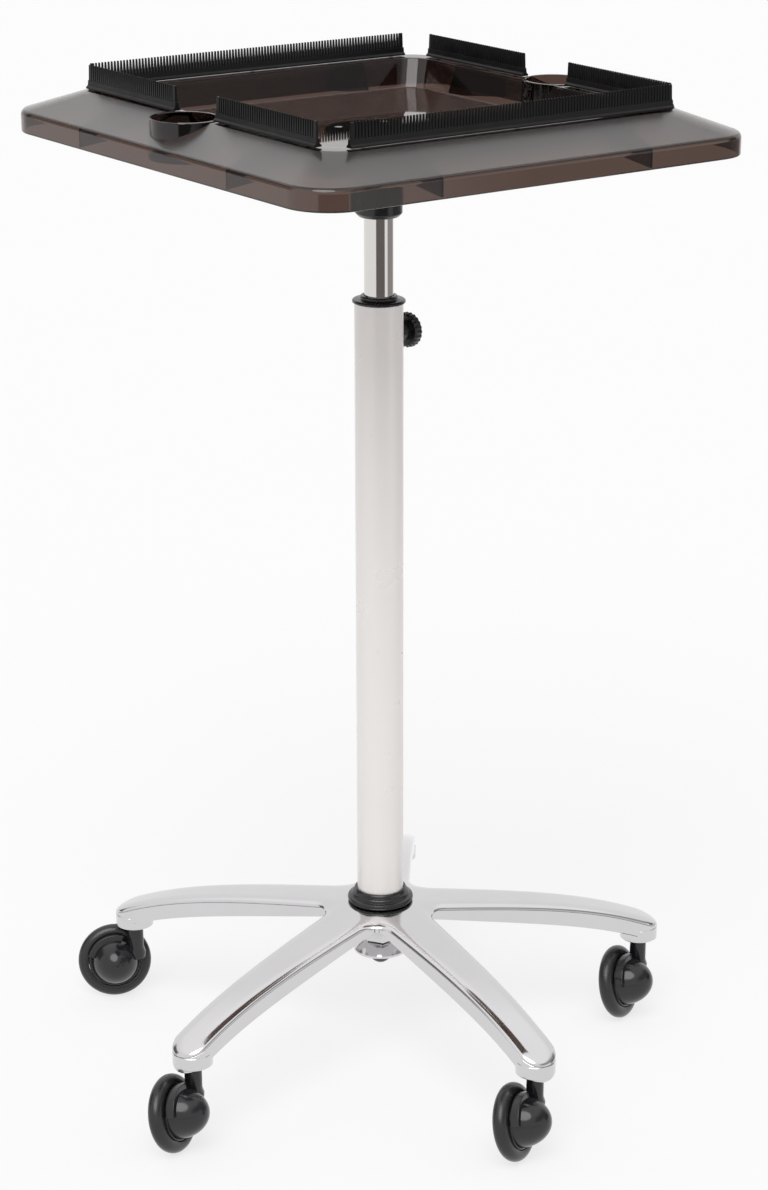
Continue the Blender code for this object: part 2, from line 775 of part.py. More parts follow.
def fill_layer(bm, layer):
    """Faces one level of the star, fanned at the hub and in strips along the arms."""
    arms, hub, middle = layer
    count = len(hub)
    for k in range(count):
        bm.faces.new((middle, hub[k], hub[(k + 1) % count]))
    for k, rows in enumerate(arms):
        left, centre, right = rows[0]
        before = hub[(2 * k - 1) % count]
        after = hub[(2 * k + 1) % count]
        bm.faces.new((hub[2 * k], centre, left, after))
        bm.faces.new((before, right, centre, hub[2 * k]))
        for low, high in zip(rows[:-1], rows[1:-1] + rows[-1:]):
            bm.faces.new((low[0], low[1], high[1], high[0]))
            bm.faces.new((low[1], low[2], high[2], high[1]))


def join_edges(bm, upper, lower):
    """Closes the side between two levels of the star."""
    for above, below in zip(upper[0], lower[0]):
        for side in (0, 2):
            for (a, b), (c, d) in zip(zip(above, above[1:]), zip(below, below[1:])):
                bm.faces.new((a[side], b[side], d[side], c[side]))


def star_plate():
    """The arms' upper plate in one piece, with round crotches and a lip that turns down all round."""
    bm = bmesh.new()
    flat = half_arm_edge(LIP_WIDTH, CROTCH_RADIUS)
    edge = half_arm_edge(0.0, CROTCH_RADIUS)
    top = star_layer(bm, flat, arm_top)
    rim = star_rim(bm, edge, lambda r: arm_top(r) - LIP_DROP)
    under = star_layer(bm, edge, lambda r: arm_top(r) - PLATE_THICKNESS_ARM)
    fill_layer(bm, top)
    fill_layer(bm, under)
    join_edges(bm, top, (rim,))
    join_edges(bm, (rim,), under)
    return bm


def star_rim(bm, edge, height):
    """Edge points alone of one level of the star."""
    arms = []
    for k in range(ARM_COUNT):
        turn = Matrix.Rotation(FIRST_ARM + 2 * pi * k / ARM_COUNT, 4, "Z")
        rows = []
        for x, y in edge:
            z = height(hypot(x, y))
            left = bm.verts.new(turn @ Vector((x, y, z)))
            right = bm.verts.new(turn @ Vector((x, -y, z)))
            rows.append([left, None, right])
        arms.append(rows)
    return arms


def star_walls():
    """Body of the arms below the plate."""
    bm = bmesh.new()
    edge = half_arm_edge(WALL_INSET, INNER_CROTCH_RADIUS)
    top = star_layer(bm, edge, lambda r: arm_top(r) - (LIP_DROP + PLATE_THICKNESS_ARM) / 2)
    low = star_layer(bm, edge, arm_low)
    fill_layer(bm, top)
    fill_layer(bm, low)
    join_edges(bm, top, low)
    return bm


def stations(start, end, count):
    return [start + (end - start) * k / (count - 1) for k in range(count)]


def channel_ring(x):
    w = arm_half_width(x) - WALL_INSET - ARM_SKIN
    top = arm_top(x) - PLATE_THICKNESS_ARM - WALL_INSET
    low = arm_low(x) - 2 * ARM_SKIN
    return [Vector((x, -w, low)), Vector((x, w, low)), Vector((x, w, top)), Vector((x, -w, top))]


def star_base():
    """Hub with five drooping arms, hollow underneath, each with a round caster socket at its tip."""
    base = new_object("star_base", star_plate(), "polished_aluminium")
    boolean(base, helper("star_walls", star_walls()), "UNION", "MANIFOLD")
    boss = bmesh.new()
    boss_top = HUB_TOP - PLATE_THICKNESS_ARM / 2
    boss_profile = [
        (0.0, HUB_BOTTOM),
        (HUB_BOSS_RADIUS - HUB_FLOOR / 4, HUB_BOTTOM),
        (HUB_BOSS_RADIUS, HUB_BOTTOM + HUB_FLOOR / 4),
        (HUB_BOSS_RADIUS, boss_top),
        (0.0, boss_top),
    ]
    add_turned(boss, boss_profile, TURN_SEGMENTS)
    boolean(base, helper("hub_boss", boss), "UNION", "MANIFOLD")
    tips = bmesh.new()
    channels = bmesh.new()
    bores = bmesh.new()
    soft = TIP_BOSS_RADIUS / 24
    boss_high = arm_low(STEM_CIRCLE) + ARM_SKIN * 2
    for k in range(ARM_COUNT):
        turn = Matrix.Rotation(FIRST_ARM + 2 * pi * k / ARM_COUNT, 4, "Z")
        at_tip = turn @ Matrix.Translation((STEM_CIRCLE, 0.0, 0.0))
        tip = [
            (0.0, TIP_BOTTOM),
            (TIP_BOSS_RADIUS - soft, TIP_BOTTOM),
            (TIP_BOSS_RADIUS, TIP_BOTTOM + soft),
            (TIP_BOSS_RADIUS, boss_high),
            (0.0, boss_high),
        ]
        add_turned(tips, tip, TIP_SEGMENTS, at_tip)
        last = STEM_CIRCLE - TIP_BOSS_RADIUS - ARM_SKIN / 2
        rings = [[turn @ p for p in channel_ring(x)] for x in stations(CHANNEL_START, last, ARM_STEPS)]
        add_loft(channels, rings)
        bore = cylinder_profile(STEM_RADIUS + GAP, TIP_BOTTOM - ARM_SKIN, TIP_BOTTOM + STEM_SOCKET_DEPTH)
        add_turned(bores, bore, SMALL_SEGMENTS, at_tip)
    boolean(base, helper("tip_bosses", tips), "UNION", "MANIFOLD")
    boolean(base, helper("arm_channels", channels), "DIFFERENCE", "MANIFOLD")
    boolean(base, helper("stem_bores", bores), "DIFFERENCE", "MANIFOLD")
    column_bore = bmesh.new()
    floor = HUB_BOTTOM + HUB_FLOOR
    bolt = BOLT_RADIUS + GAP
    bore_radius = COLUMN_RADIUS + GAP
    stepped = [
        (0.0, HUB_BOTTOM - HUB_FLOOR),
        (bolt, HUB_BOTTOM - HUB_FLOOR),
        (bolt, floor),
        (bore_radius, floor),
        (bore_radius, HUB_TOP + HUB_FLOOR),
        (0.0, HUB_TOP + HUB_FLOOR),
    ]
    add_turned(column_bore, stepped, TURN_SEGMENTS)
    boolean(base, helper("column_bore", column_bore), "DIFFERENCE", "MANIFOLD")


def column_ring():
    """Stepped grommet that hides the joint between column and hub."""
    bore = COLUMN_RADIUS + GAP
    low = HUB_TOP + GAP
    h = RING_HEIGHT
    r = RING_RADIUS
    lip = (r - bore) / 8
    profile = [
        (bore, low),
        (r - lip, low),
        (r, low + 0.08 * h),
        (r, low + 0.20 * h),
        (r - lip, low + 0.34 * h),
        (r - 3 * lip, low + 0.38 * h),
        (r - 3 * lip, low + 0.56 * h),
        (r - 4 * lip, low + 0.70 * h),
        (r - 5.5 * lip, low + 0.74 * h),
        (r - 5.5 * lip, low + 0.92 * h),
        (r - 6.5 * lip, low + h),
        (bore, low + h),
    ]
    return turned("column_ring", profile, TURN_SEGMENTS, "black_plastic")


washer_top = WASHER_RIM_Z + WASHER_THICKNESS + WASHER_RISE
spacer_low = washer_top + GAP
spacer_high = HUB_BOTTOM - GAP
bolt_seat = WASHER_RIM_Z + WASHER_RISE - GAP


def base_spacer():
    bm = bmesh.new()
    corner = SPACER_ACROSS_FLATS / 2 / cos(pi / 6)
    at = Matrix.Rotation(FIRST_ARM + pi / ARM_COUNT, 4, "Z")
    add_turned(bm, tube_profile(BOLT_RADIUS + GAP, corner, spacer_low, spacer_high), 6, at)
    spacer = new_object("base_spacer", bm, "polished_aluminium")
    bore = bmesh.new()
    through = cylinder_profile(BOLT_RADIUS + GAP, spacer_low - HUB_FLOOR, spacer_high + HUB_FLOOR)
    add_turned(bore, through, SMALL_SEGMENTS, at)
    boolean(spacer, helper("spacer_bore", bore), "DIFFERENCE")


def base_washer():
    """Domed washer, its crown level with the spacer's foot."""
    bore = BOLT_RADIUS + GAP
    flat = SPACER_ACROSS_FLATS / 2
    upper = [(bore, WASHER_RISE), (flat, WASHER_RISE)]
    for k in range(1, 4):
        r = flat + (WASHER_RADIUS - flat) * k / 3
        share = (r - flat) / (WASHER_RADIUS - flat)
        upper.append((r, WASHER_RISE * (1 - share**1.7)))
    low = [(r, WASHER_RIM_Z + h) for r, h in upper]
    high = [(r, z + WASHER_THICKNESS) for r, z in low]
    return turned("base_washer", low + high[::-1], TURN_SEGMENTS, "polished_aluminium")


def base_bolt():
    """Bolt with a round-bottomed head."""
    r = BOLT_HEAD_RADIUS
    profile = []
    for k in range(5):
        a = pi / 2 * k / 4
        profile.append((r * sin(a), BOLT_HEAD_BOTTOM + r * (1 - cos(a))))
    top = column_foot + BOLT_BITE
    profile += [(r, bolt_seat), (BOLT_RADIUS, bolt_seat), (BOLT_RADIUS, top), (0.0, top)]
    return turned("base_bolt", profile, HOOD_SEGMENTS, "black_plastic")


def column_plug():
    """Threaded plug in the column's foot that the bolt draws down."""
    bore = BOLT_RADIUS + GAP
    bottom = column_foot
    top = column_foot + PLUG_HEIGHT
    profile = [
        (0.0, top),
        (0.0, bottom + BOLT_BITE + GAP),
        (bore, bottom + BOLT_BITE + GAP),
        (bore, bottom),
        (slide_radius, bottom),
        (slide_radius, top),
    ]
    return turned("column_plug", profile, TURN_SEGMENTS, "zinc_steel")


# Casters: X to the dome's side, Y ahead of the wheel, the stem on Z
neck_top = TIP_BOTTOM - GAP
tyre_round = TYRE_WIDTH / 2
wheel_z = (WHEEL_RADIUS - tyre_round) * cos(WHEEL_TILT) + tyre_round
wheel_lean = Matrix.Rotation(pi / 2 - WHEEL_TILT, 4, "Y")
wheel_frame = Matrix.Translation((-SIDE_OFFSET, -TRAIL, wheel_z)) @ wheel_lean


def dome_point(share, grow=0.0):
    """A point of the dome's outline: share runs from 0 at its rim to 1 at its crown."""
    a = share * pi / 2
    return (DOME_RADIUS + grow) * cos(a), DOME_START + (DOME_REACH - DOME_START + grow) * sin(a)


def dome_profile(grow):
    return [dome_point(k / DOME_STEPS, grow) for k in range(DOME_STEPS + 1)]


def hood_profile():
    """Outline of the solid dome with its flanged rim, before the hollow is cut."""
    outside = dome_profile(0.0)
    outside[0] = (DOME_RADIUS, DOME_START + RIM_FLANGE_WIDTH)
    outside[-1] = (0.0, DOME_REACH)
    flange = DOME_RADIUS + RIM_FLANGE
    return [(0.0, DOME_START), (flange, DOME_START), (flange, DOME_START + RIM_FLANGE_WIDTH)] + outside


def hollow_profile():
    """The room inside the dome around the axle's boss, and the boss's bore."""
    boss = AXLE_RADIUS + AXLE_BOSS_WALL
    boss_end = AXLE_DEPTH - AXLE_GRIP
    bore = AXLE_RADIUS + GAP
    open_end = DOME_START - RIM_FLANGE_WIDTH
    inside = [p for p in dome_profile(-DOME_WALL) if p[0] > boss + DOME_WALL / 2]
    inside[0] = (inside[0][0], open_end)
    root = inside[-1][1]
    bore_end = AXLE_DEPTH + GAP
    around_boss = [(boss, root), (boss, boss_end), (bore, boss_end), (bore, bore_end), (0.0, bore_end)]
    return [(0.0, open_end)] + inside + around_boss


def fin_points(inner, outer):
    """Band that follows the dome's flank, seen along the wheel's axis."""
    points = []
    for radius, order in ((outer, range(FIN_STEPS + 1)), (inner, range(FIN_STEPS, -1, -1))):
        for k in order:
            a = FIN_LOW + (FIN_HIGH - FIN_LOW) * k / FIN_STEPS
            points.append((radius * cos(a), radius * sin(a)))
    return points


def hood_neck():
    """Neck under the arm's socket."""
    bm = bmesh.new()
    foot = wheel_z + NECK_SINK
    profile = [
        (0.0, foot),
        (NECK_RADIUS * 0.9, foot),
        (NECK_RADIUS, foot + NECK_RADIUS),
        (NECK_RADIUS, neck_top),
        (0.0, neck_top),
    ]
    add_turned(bm, profile, SMALL_SEGMENTS)
    return bm


def hood_fin():
    """Leg that runs from the neck down along the dome's leading flank."""
    bm = bmesh.new()
    inner = DOME_RADIUS - FIN_SINK
    outer = DOME_RADIUS + FIN_THICKNESS
    near = DOME_START + RIM_FLANGE_WIDTH * 2
    far = near + FIN_WIDTH
    rings = []
    for s in (near, far):
        ring = []
        for across, up in fin_points(inner, outer):
            ring.append(wheel_frame @ Vector((-up, across, s)))
        rings.append(ring)
    add_loft(bm, rings)
    return bm


def caster(k):
    turn = FIRST_ARM + 2 * pi * k / ARM_COUNT
    spot = Vector((STEM_CIRCLE * cos(turn), STEM_CIRCLE * sin(turn), 0.0))
    swivel = bpy.data.objects.new("swivel_%d" % (k + 1), None)
    bpy.context.scene.collection.objects.link(swivel)
    swivel.matrix_world = Matrix.Translation(spot) @ Matrix.Rotation(CASTER_TURN[k], 4, "Z")
    spin = bpy.data.objects.new("spin_%d" % (k + 1), None)
    bpy.context.scene.collection.objects.link(spin)
    spin.parent = swivel
    spin.matrix_local = wheel_frame
    prefix = "caster_%d_" % (k + 1)
    stem_low = neck_top - STEM_SINK
    stem_high = TIP_BOTTOM + STEM_SOCKET_DEPTH - GAP
    stem_profile = cylinder_profile(STEM_RADIUS, stem_low, stem_high)
    stem = turned(prefix + "stem", stem_profile, SMALL_SEGMENTS, "zinc_steel")
    stem.parent = swivel
    hood = turned(prefix + "hood", hood_profile(), HOOD_SEGMENTS, "hood_plastic")
    hood.parent = spin
    neck = helper(prefix + "neck", hood_neck())
    fin = helper(prefix + "fin", hood_fin())
    bore = bmesh.new()
    stem_room = cylinder_profile(STEM_RADIUS + GAP, stem_low - GAP, neck_top + STEM_SINK)
    add_turned(bore, stem_room, SMALL_SEGMENTS)
    bore_obj = helper(prefix + "stem_bore", bore)
    hollow = bmesh.new()
    add_turned(hollow, hollow_profile(), HOOD_SEGMENTS)
    hollow_obj = helper(prefix + "hollow", hollow)
    for piece in (neck, fin, bore_obj):
        piece.parent = swivel
    hollow_obj.parent = spin
    boolean(hood, neck, "UNION")
    boolean(hood, fin, "UNION")
    boolean(hood, hollow_obj, "DIFFERENCE")
    boolean(hood, bore_obj, "DIFFERENCE")
    axle = turned(prefix + "axle", axle_profile(), SMALL_SEGMENTS, "zinc_steel")
    wheel = turned(prefix + "wheel", wheel_profile(), WHEEL_SEGMENTS, "black_plastic")
    tyre = turned(prefix + "tyre", tyre_profile(), WHEEL_SEGMENTS, "tyre_rubber")
    for piece in (axle, wheel, tyre):
        piece.parent = spin


def axle_profile():
    """Axle fixed in the hood's boss, with a low head behind the wheel."""
    head = AXLE_RADIUS * 1.9
    back = -WHEEL_BACK - GAP
    return [
        (0.0, back - AXLE_RADIUS * 0.6),
        (head, back - AXLE_RADIUS * 0.6),
        (head, back),
        (AXLE_RADIUS, back),
        (AXLE_RADIUS, AXLE_DEPTH),
        (0.0, AXLE_DEPTH),
    ]


def wheel_profile():
    """Wheel disc with a hub that runs on the axle up to the hood's boss."""
    bore = AXLE_RADIUS + GAP / 4
    hub = AXLE_RADIUS + AXLE_BOSS_WALL
    hub_end = AXLE_DEPTH - AXLE_GRIP - WHEEL_GAP
    rim = TYRE_SEAT - GAP
    return [
        (bore, -WHEEL_BACK),
        (rim, -WHEEL_BACK),
        (rim, WHEEL_FACE),
        (hub, WHEEL_FACE),
        (hub, hub_end),
        (bore, hub_end),
    ]


def tyre_profile():
    """Full round tread on a straight seat."""
    centre = WHEEL_RADIUS - tyre_round
    start = asin(min(0.99, (centre - TYRE_SEAT) / tyre_round))
    points = []
    for k in range(TYRE_STEPS + 1):
        a = -pi / 2 - start + (pi + 2 * start) * k / TYRE_STEPS
        points.append((centre + tyre_round * cos(a), tyre_round * sin(a)))
    points[0] = (TYRE_SEAT, points[0][1])
    points[-1] = (TYRE_SEAT, points[-1][1])
    return points


def main():
    clear_scene()
    tray_shell()
    combs()
    tray_socket()
    socket_screws()
    inner_tube()
    tube_glide()
    column_tube()
    column_bush()
    clamp()
    star_base()
    column_ring()
    base_spacer()
    base_washer()
    base_bolt()
    column_plug()
    for k in range(ARM_COUNT):
        caster(k)


main()
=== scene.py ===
import bpy
import bmesh
from math import asin, atan2, cos, hypot, pi, radians, sin, sqrt, tan
from mathutils import Matrix, Vector


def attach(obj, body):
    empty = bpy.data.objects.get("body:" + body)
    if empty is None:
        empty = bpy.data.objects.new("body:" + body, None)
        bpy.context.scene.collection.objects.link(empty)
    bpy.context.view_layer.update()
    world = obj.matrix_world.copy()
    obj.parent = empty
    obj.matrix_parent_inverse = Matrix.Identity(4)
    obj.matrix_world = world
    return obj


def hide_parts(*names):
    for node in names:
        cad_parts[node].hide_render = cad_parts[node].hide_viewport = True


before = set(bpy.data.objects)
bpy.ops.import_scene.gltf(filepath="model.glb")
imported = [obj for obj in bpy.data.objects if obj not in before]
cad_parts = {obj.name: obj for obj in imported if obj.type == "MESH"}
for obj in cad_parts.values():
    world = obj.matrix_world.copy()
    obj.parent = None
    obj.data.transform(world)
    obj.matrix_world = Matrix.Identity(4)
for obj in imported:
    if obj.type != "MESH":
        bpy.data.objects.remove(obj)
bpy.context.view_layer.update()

gap = 0.0003  # clearance between pieces that fit together
overrun = 0.004  # how far a cutter runs past what it cuts


# handling pieces

def leaveEditMode():
    if bpy.context.object and bpy.context.object.mode != "OBJECT":
        bpy.ops.object.mode_set(mode="OBJECT")
    bpy.ops.object.select_all(action="DESELECT")


def pickOnly(first, *others):
    leaveEditMode()
    for obj in (first, *others):
        obj.select_set(True)
    bpy.context.view_layer.objects.active = first


def nameNew(name):
    obj = bpy.context.object
    obj.name = name
    obj.data.name = name
    return obj


def placeNew(name, data):
    obj = bpy.data.objects.new(name, data)
    bpy.context.scene.collection.objects.link(obj)
    return obj


def settle(obj, matrix=None):
    # place an object and write the place into its mesh
    if matrix is not None:
        obj.matrix_world = matrix
    pickOnly(obj)
    bpy.ops.object.transform_apply(location=True, rotation=True, scale=True)
    return obj


def selectAll(action="SELECT"):
    bpy.ops.mesh.select_all(action=action)


def editAll(obj):
    pickOnly(obj)
    bpy.ops.object.mode_set(mode="EDIT")
    bpy.ops.mesh.select_mode(type="VERT")
    selectAll()


def closeMesh():
    # merge what touches, turn the faces outwards and leave edit mode
    selectAll()
    bpy.ops.mesh.remove_doubles(threshold=1e-6)
    bpy.ops.mesh.normals_make_consistent(inside=False)
    leaveEditMode()


def extrudeBy(step):
    bpy.ops.mesh.extrude_region_move(TRANSFORM_OT_translate={"value": step})


def makeBox(name, size, centre, turn=0.0):
    leaveEditMode()
    bpy.ops.mesh.primitive_cube_add(size=1, location=centre)
    box = nameNew(name)
    box.scale = size
    box.rotation_euler = (0, 0, turn)
    return settle(box)


def selectWhere(obj, test):
    bpy.ops.mesh.select_mode(type="VERT")
    selectAll("DESELECT")
    mesh = bmesh.from_edit_mesh(obj.data)
    for vert in mesh.verts:
        vert.select = test(vert.co)
    mesh.select_flush(True)
    bmesh.update_edit_mesh(obj.data)


def cutAway(spot, normal):
    # cut the mesh in edit mode by a plane and close it
    selectAll()
    bpy.ops.mesh.bisect(plane_co=spot, plane_no=normal, use_fill=True, clear_outer=True)


def copyPiece(obj, name, matrix=None):
    pickOnly(obj)
    bpy.ops.object.duplicate(linked=False)
    return settle(nameNew(name), matrix)


def joinPieces(obj, *others):
    pickOnly(obj, *others)
    bpy.ops.object.join()
    return obj


def combine(obj, other, operation, solver="MANIFOLD"):
    # Boolean with a helper that is used up
    pickOnly(obj)
    cut = obj.modifiers.new("combine", "BOOLEAN")
    cut.operation = operation
    cut.solver = solver
    cut.object = other
    bpy.ops.object.modifier_apply(modifier=cut.name)
    bpy.data.objects.remove(other)
    return obj


def softenEdges(obj, width, segments=2, angle=30):
    pickOnly(obj)
    soft = obj.modifiers.new("softEdges", "BEVEL")
    soft.width = width
    soft.segments = segments
    soft.limit_method = "ANGLE"
    soft.angle_limit = radians(angle)
    bpy.ops.object.modifier_apply(modifier=soft.name)
    return obj


def smoothPiece(obj, angle=34):
    # smooth shading whose normals follow the large faces, so that soft edges don't bend reflections
    pickOnly(obj)
    bpy.ops.object.shade_smooth_by_angle(angle=radians(angle))
    even = obj.modifiers.new("evenNormals", "WEIGHTED_NORMAL")
    even.keep_sharp = True
    bpy.ops.object.modifier_apply(modifier=even.name)
    return obj


def turnPiece(name, outline, steps=96, closed=False):
    # a single vertex drawn along an outline of (radius, height) and spun round Z
    leaveEditMode()
    radius, height = outline[0]
    bpy.ops.mesh.primitive_plane_add(size=0.001, location=(radius, 0, height))
    obj = settle(nameNew(name))
    editAll(obj)
    bpy.ops.mesh.merge(type="CENTER")
    for nextRadius, nextHeight in outline[1:]:
        extrudeBy((nextRadius - radius, 0, nextHeight - height))
        radius, height = nextRadius, nextHeight
    if closed:
        mesh = bmesh.from_edit_mesh(obj.data)
        for vert in mesh.verts:
            vert.select = len(vert.link_edges) == 1
        bmesh.update_edit_mesh(obj.data)
        bpy.ops.mesh.edge_face_add()
    selectAll()
    bpy.ops.mesh.spin(steps=steps, angle=2 * pi, center=(0, 0, 0), axis=(0, 0, 1))
    closeMesh()
    return obj


def rodOutline(radius, low, high):
    return [(0, low), (radius, low), (radius, high), (0, high)]


def finishPiece(obj, finish, body, node, smooth=34):
    smoothPiece(obj, smooth)
    obj.data.materials.clear()
    obj.data.materials.append(finishes[finish])
    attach(obj, body)
    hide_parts(node)
    return obj


def finishTurned(name, outline, steps, soft, segments, *rest, angle=30):
    # a turned ring, softened and finished
    ring = turnPiece(name, outline, steps, closed=True)
    return finishPiece(softenEdges(ring, soft, segments, angle), *rest)


# finishes

def newGroup(name, inputs, outputs):
    group = bpy.data.node_groups.new(name, "ShaderNodeTree")
    for label, value in inputs.items():
        kind = "NodeSocketVector" if isinstance(value, tuple) else "NodeSocketFloat"
        group.interface.new_socket(name=label, in_out="INPUT", socket_type=kind).default_value = value
    for label in outputs:
        kind = "NodeSocketVector" if label == "Normal" else "NodeSocketFloat"
        group.interface.new_socket(name=label, in_out="OUTPUT", socket_type=kind)
    return group, group.nodes.new("NodeGroupInput"), group.nodes.new("NodeGroupOutput")


def addNode(tree, kind, **values):
    node = tree.nodes.new(kind)
    for key, value in values.items():
        setattr(node, key, value)
    return node


def feed(tree, value, socket):
    # a socket takes a link or a plain value
    if isinstance(value, bpy.types.NodeSocket):
        tree.links.new(value, socket)
    else:
        socket.default_value = value


def addNoise(tree, vector, scale, detail):
    noise = addNode(tree, "ShaderNodeTexNoise")
    noise.inputs["Detail"].default_value = detail
    feed(tree, vector, noise.inputs["Vector"])
    feed(tree, scale, noise.inputs["Scale"])
    return noise.outputs["Fac"]


def addMath(tree, operation, *values, clamp=False):
    node = addNode(tree, "ShaderNodeMath", operation=operation, use_clamp=clamp)
    for socket, value in zip(node.inputs, values):
        feed(tree, value, socket)
    return node.outputs[0]


def addVectorMath(tree, operation, *values):
    node = addNode(tree, "ShaderNodeVectorMath", operation=operation)
    for socket, value in zip(node.inputs, values):
        feed(tree, value, socket)
    return node.outputs["Vector" if operation == "MULTIPLY" else "Value"]


def addRamp(tree, upper, lower, gain):
    # the difference times the gain, held between 0 and 1
    return addMath(tree, "MULTIPLY", addMath(tree, "SUBTRACT", upper, lower), gain, clamp=True)


def objectPlace(tree):
    return addNode(tree, "ShaderNodeTexCoord").outputs["Object"]


def heightOf(tree, vector):
    parts = addNode(tree, "ShaderNodeSeparateXYZ")
    tree.links.new(vector, parts.inputs[0])
    return parts.outputs["Z"]


def surfaceNormal(tree):
    return addNode(tree, "ShaderNodeNewGeometry").outputs["Normal"]


def makeGlossSpread():
    # roughness that drifts between two values over the surface
    group, start, end = newGroup("glossSpread", {"Low": 0.2, "High": 0.3, "Scale": 40.0}, ["Roughness"])
    noise = addNoise(group, objectPlace(group), start.outputs["Scale"], 5.0)
    spread = addNode(group, "ShaderNodeMapRange")
    spread.inputs["From Min"].default_value = 0.3
    spread.inputs["From Max"].default_value = 0.7
    group.links.new(noise, spread.inputs["Value"])
    group.links.new(start.outputs["Low"], spread.inputs["To Min"])
    group.links.new(start.outputs["High"], spread.inputs["To Max"])
    group.links.new(spread.outputs["Result"], end.inputs["Roughness"])
    return group


def makeFineGrain():
    # shallow bump, stretched for draw lines and even for moulded skins
    inputs = {"Stretch": (1, 1, 1), "Strength": 0.1, "Depth": 0.0001}
    group, start, end = newGroup("fineGrain", inputs, ["Normal"])
    stretched = addVectorMath(group, "MULTIPLY", objectPlace(group), start.outputs["Stretch"])
    noise = addNoise(group, stretched, 1.0, 4.0)
    bump = addNode(group, "ShaderNodeBump")
    group.links.new(noise, bump.inputs["Height"])
    group.links.new(start.outputs["Strength"], bump.inputs["Strength"])
    group.links.new(start.outputs["Depth"], bump.inputs["Distance"])
    group.links.new(bump.outputs["Normal"], end.inputs["Normal"])
    return group


def makeEdgeWear():
    # a broken mask along outer edges
    group, start, end = newGroup("edgeWear", {"Width": 0.0006, "Breakup": 120.0, "Amount": 1.0}, ["Mask"])
    rounded = addNode(group, "ShaderNodeBevel", samples=4)
    group.links.new(start.outputs["Width"], rounded.inputs["Radius"])
    along = addVectorMath(group, "DOT_PRODUCT", rounded.outputs["Normal"], surfaceNormal(group))
    edge = addRamp(group, 1.0, along, 7.0)
    noise = addNoise(group, objectPlace(group), start.outputs["Breakup"], 5.0)
    broken = addRamp(group, noise, 0.42, 5.0)
    worn = addMath(group, "MULTIPLY", edge, broken)
    group.links.new(addMath(group, "MULTIPLY", worn, start.outputs["Amount"]), end.inputs["Mask"])
    return group


def makeDustFilm():
    # thin patchy dust on faces that look up
    group, start, end = newGroup("dustFilm", {"Amount": 0.1, "Scale": 60.0}, ["Mask"])
    up = addRamp(group, heightOf(group, surfaceNormal(group)), 0.2, 1.6)
    noise = addNoise(group, objectPlace(group), start.outputs["Scale"], 6.0)
    patchy = addRamp(group, noise, 0.35, 2.5)
    film = addMath(group, "MULTIPLY", up, patchy)
    group.links.new(addMath(group, "MULTIPLY", film, start.outputs["Amount"]), end.inputs["Mask"])
    return group


def makeSlopeSkin():
    # satin skin and soft coat on the tray's slopes, found by their lean
    group, start, end = newGroup("slopeSkin", {"Roughness": 0.04, "Satin": 0.3}, ["Roughness", "Coat"])
    lean = addMath(group, "ABSOLUTE", heightOf(group, surfaceNormal(group)))
    off = addMath(group, "ABSOLUTE", addMath(group, "SUBTRACT", lean, 0.90))
    share = addRamp(group, 0.075, off, 25.0)
    change = addMath(group, "SUBTRACT", start.outputs["Satin"], start.outputs["Roughness"])
    added = addMath(group, "MULTIPLY", share, change)
    group.links.new(addMath(group, "ADD", start.outputs["Roughness"], added), end.inputs["Roughness"])
    group.links.new(share, end.inputs["Coat"])
    return group


effects = {
    "gloss": makeGlossSpread(),
    "grain": makeFineGrain(),
    "wear": makeEdgeWear(),
    "dust": makeDustFilm(),
    "slope": makeSlopeSkin(),
}

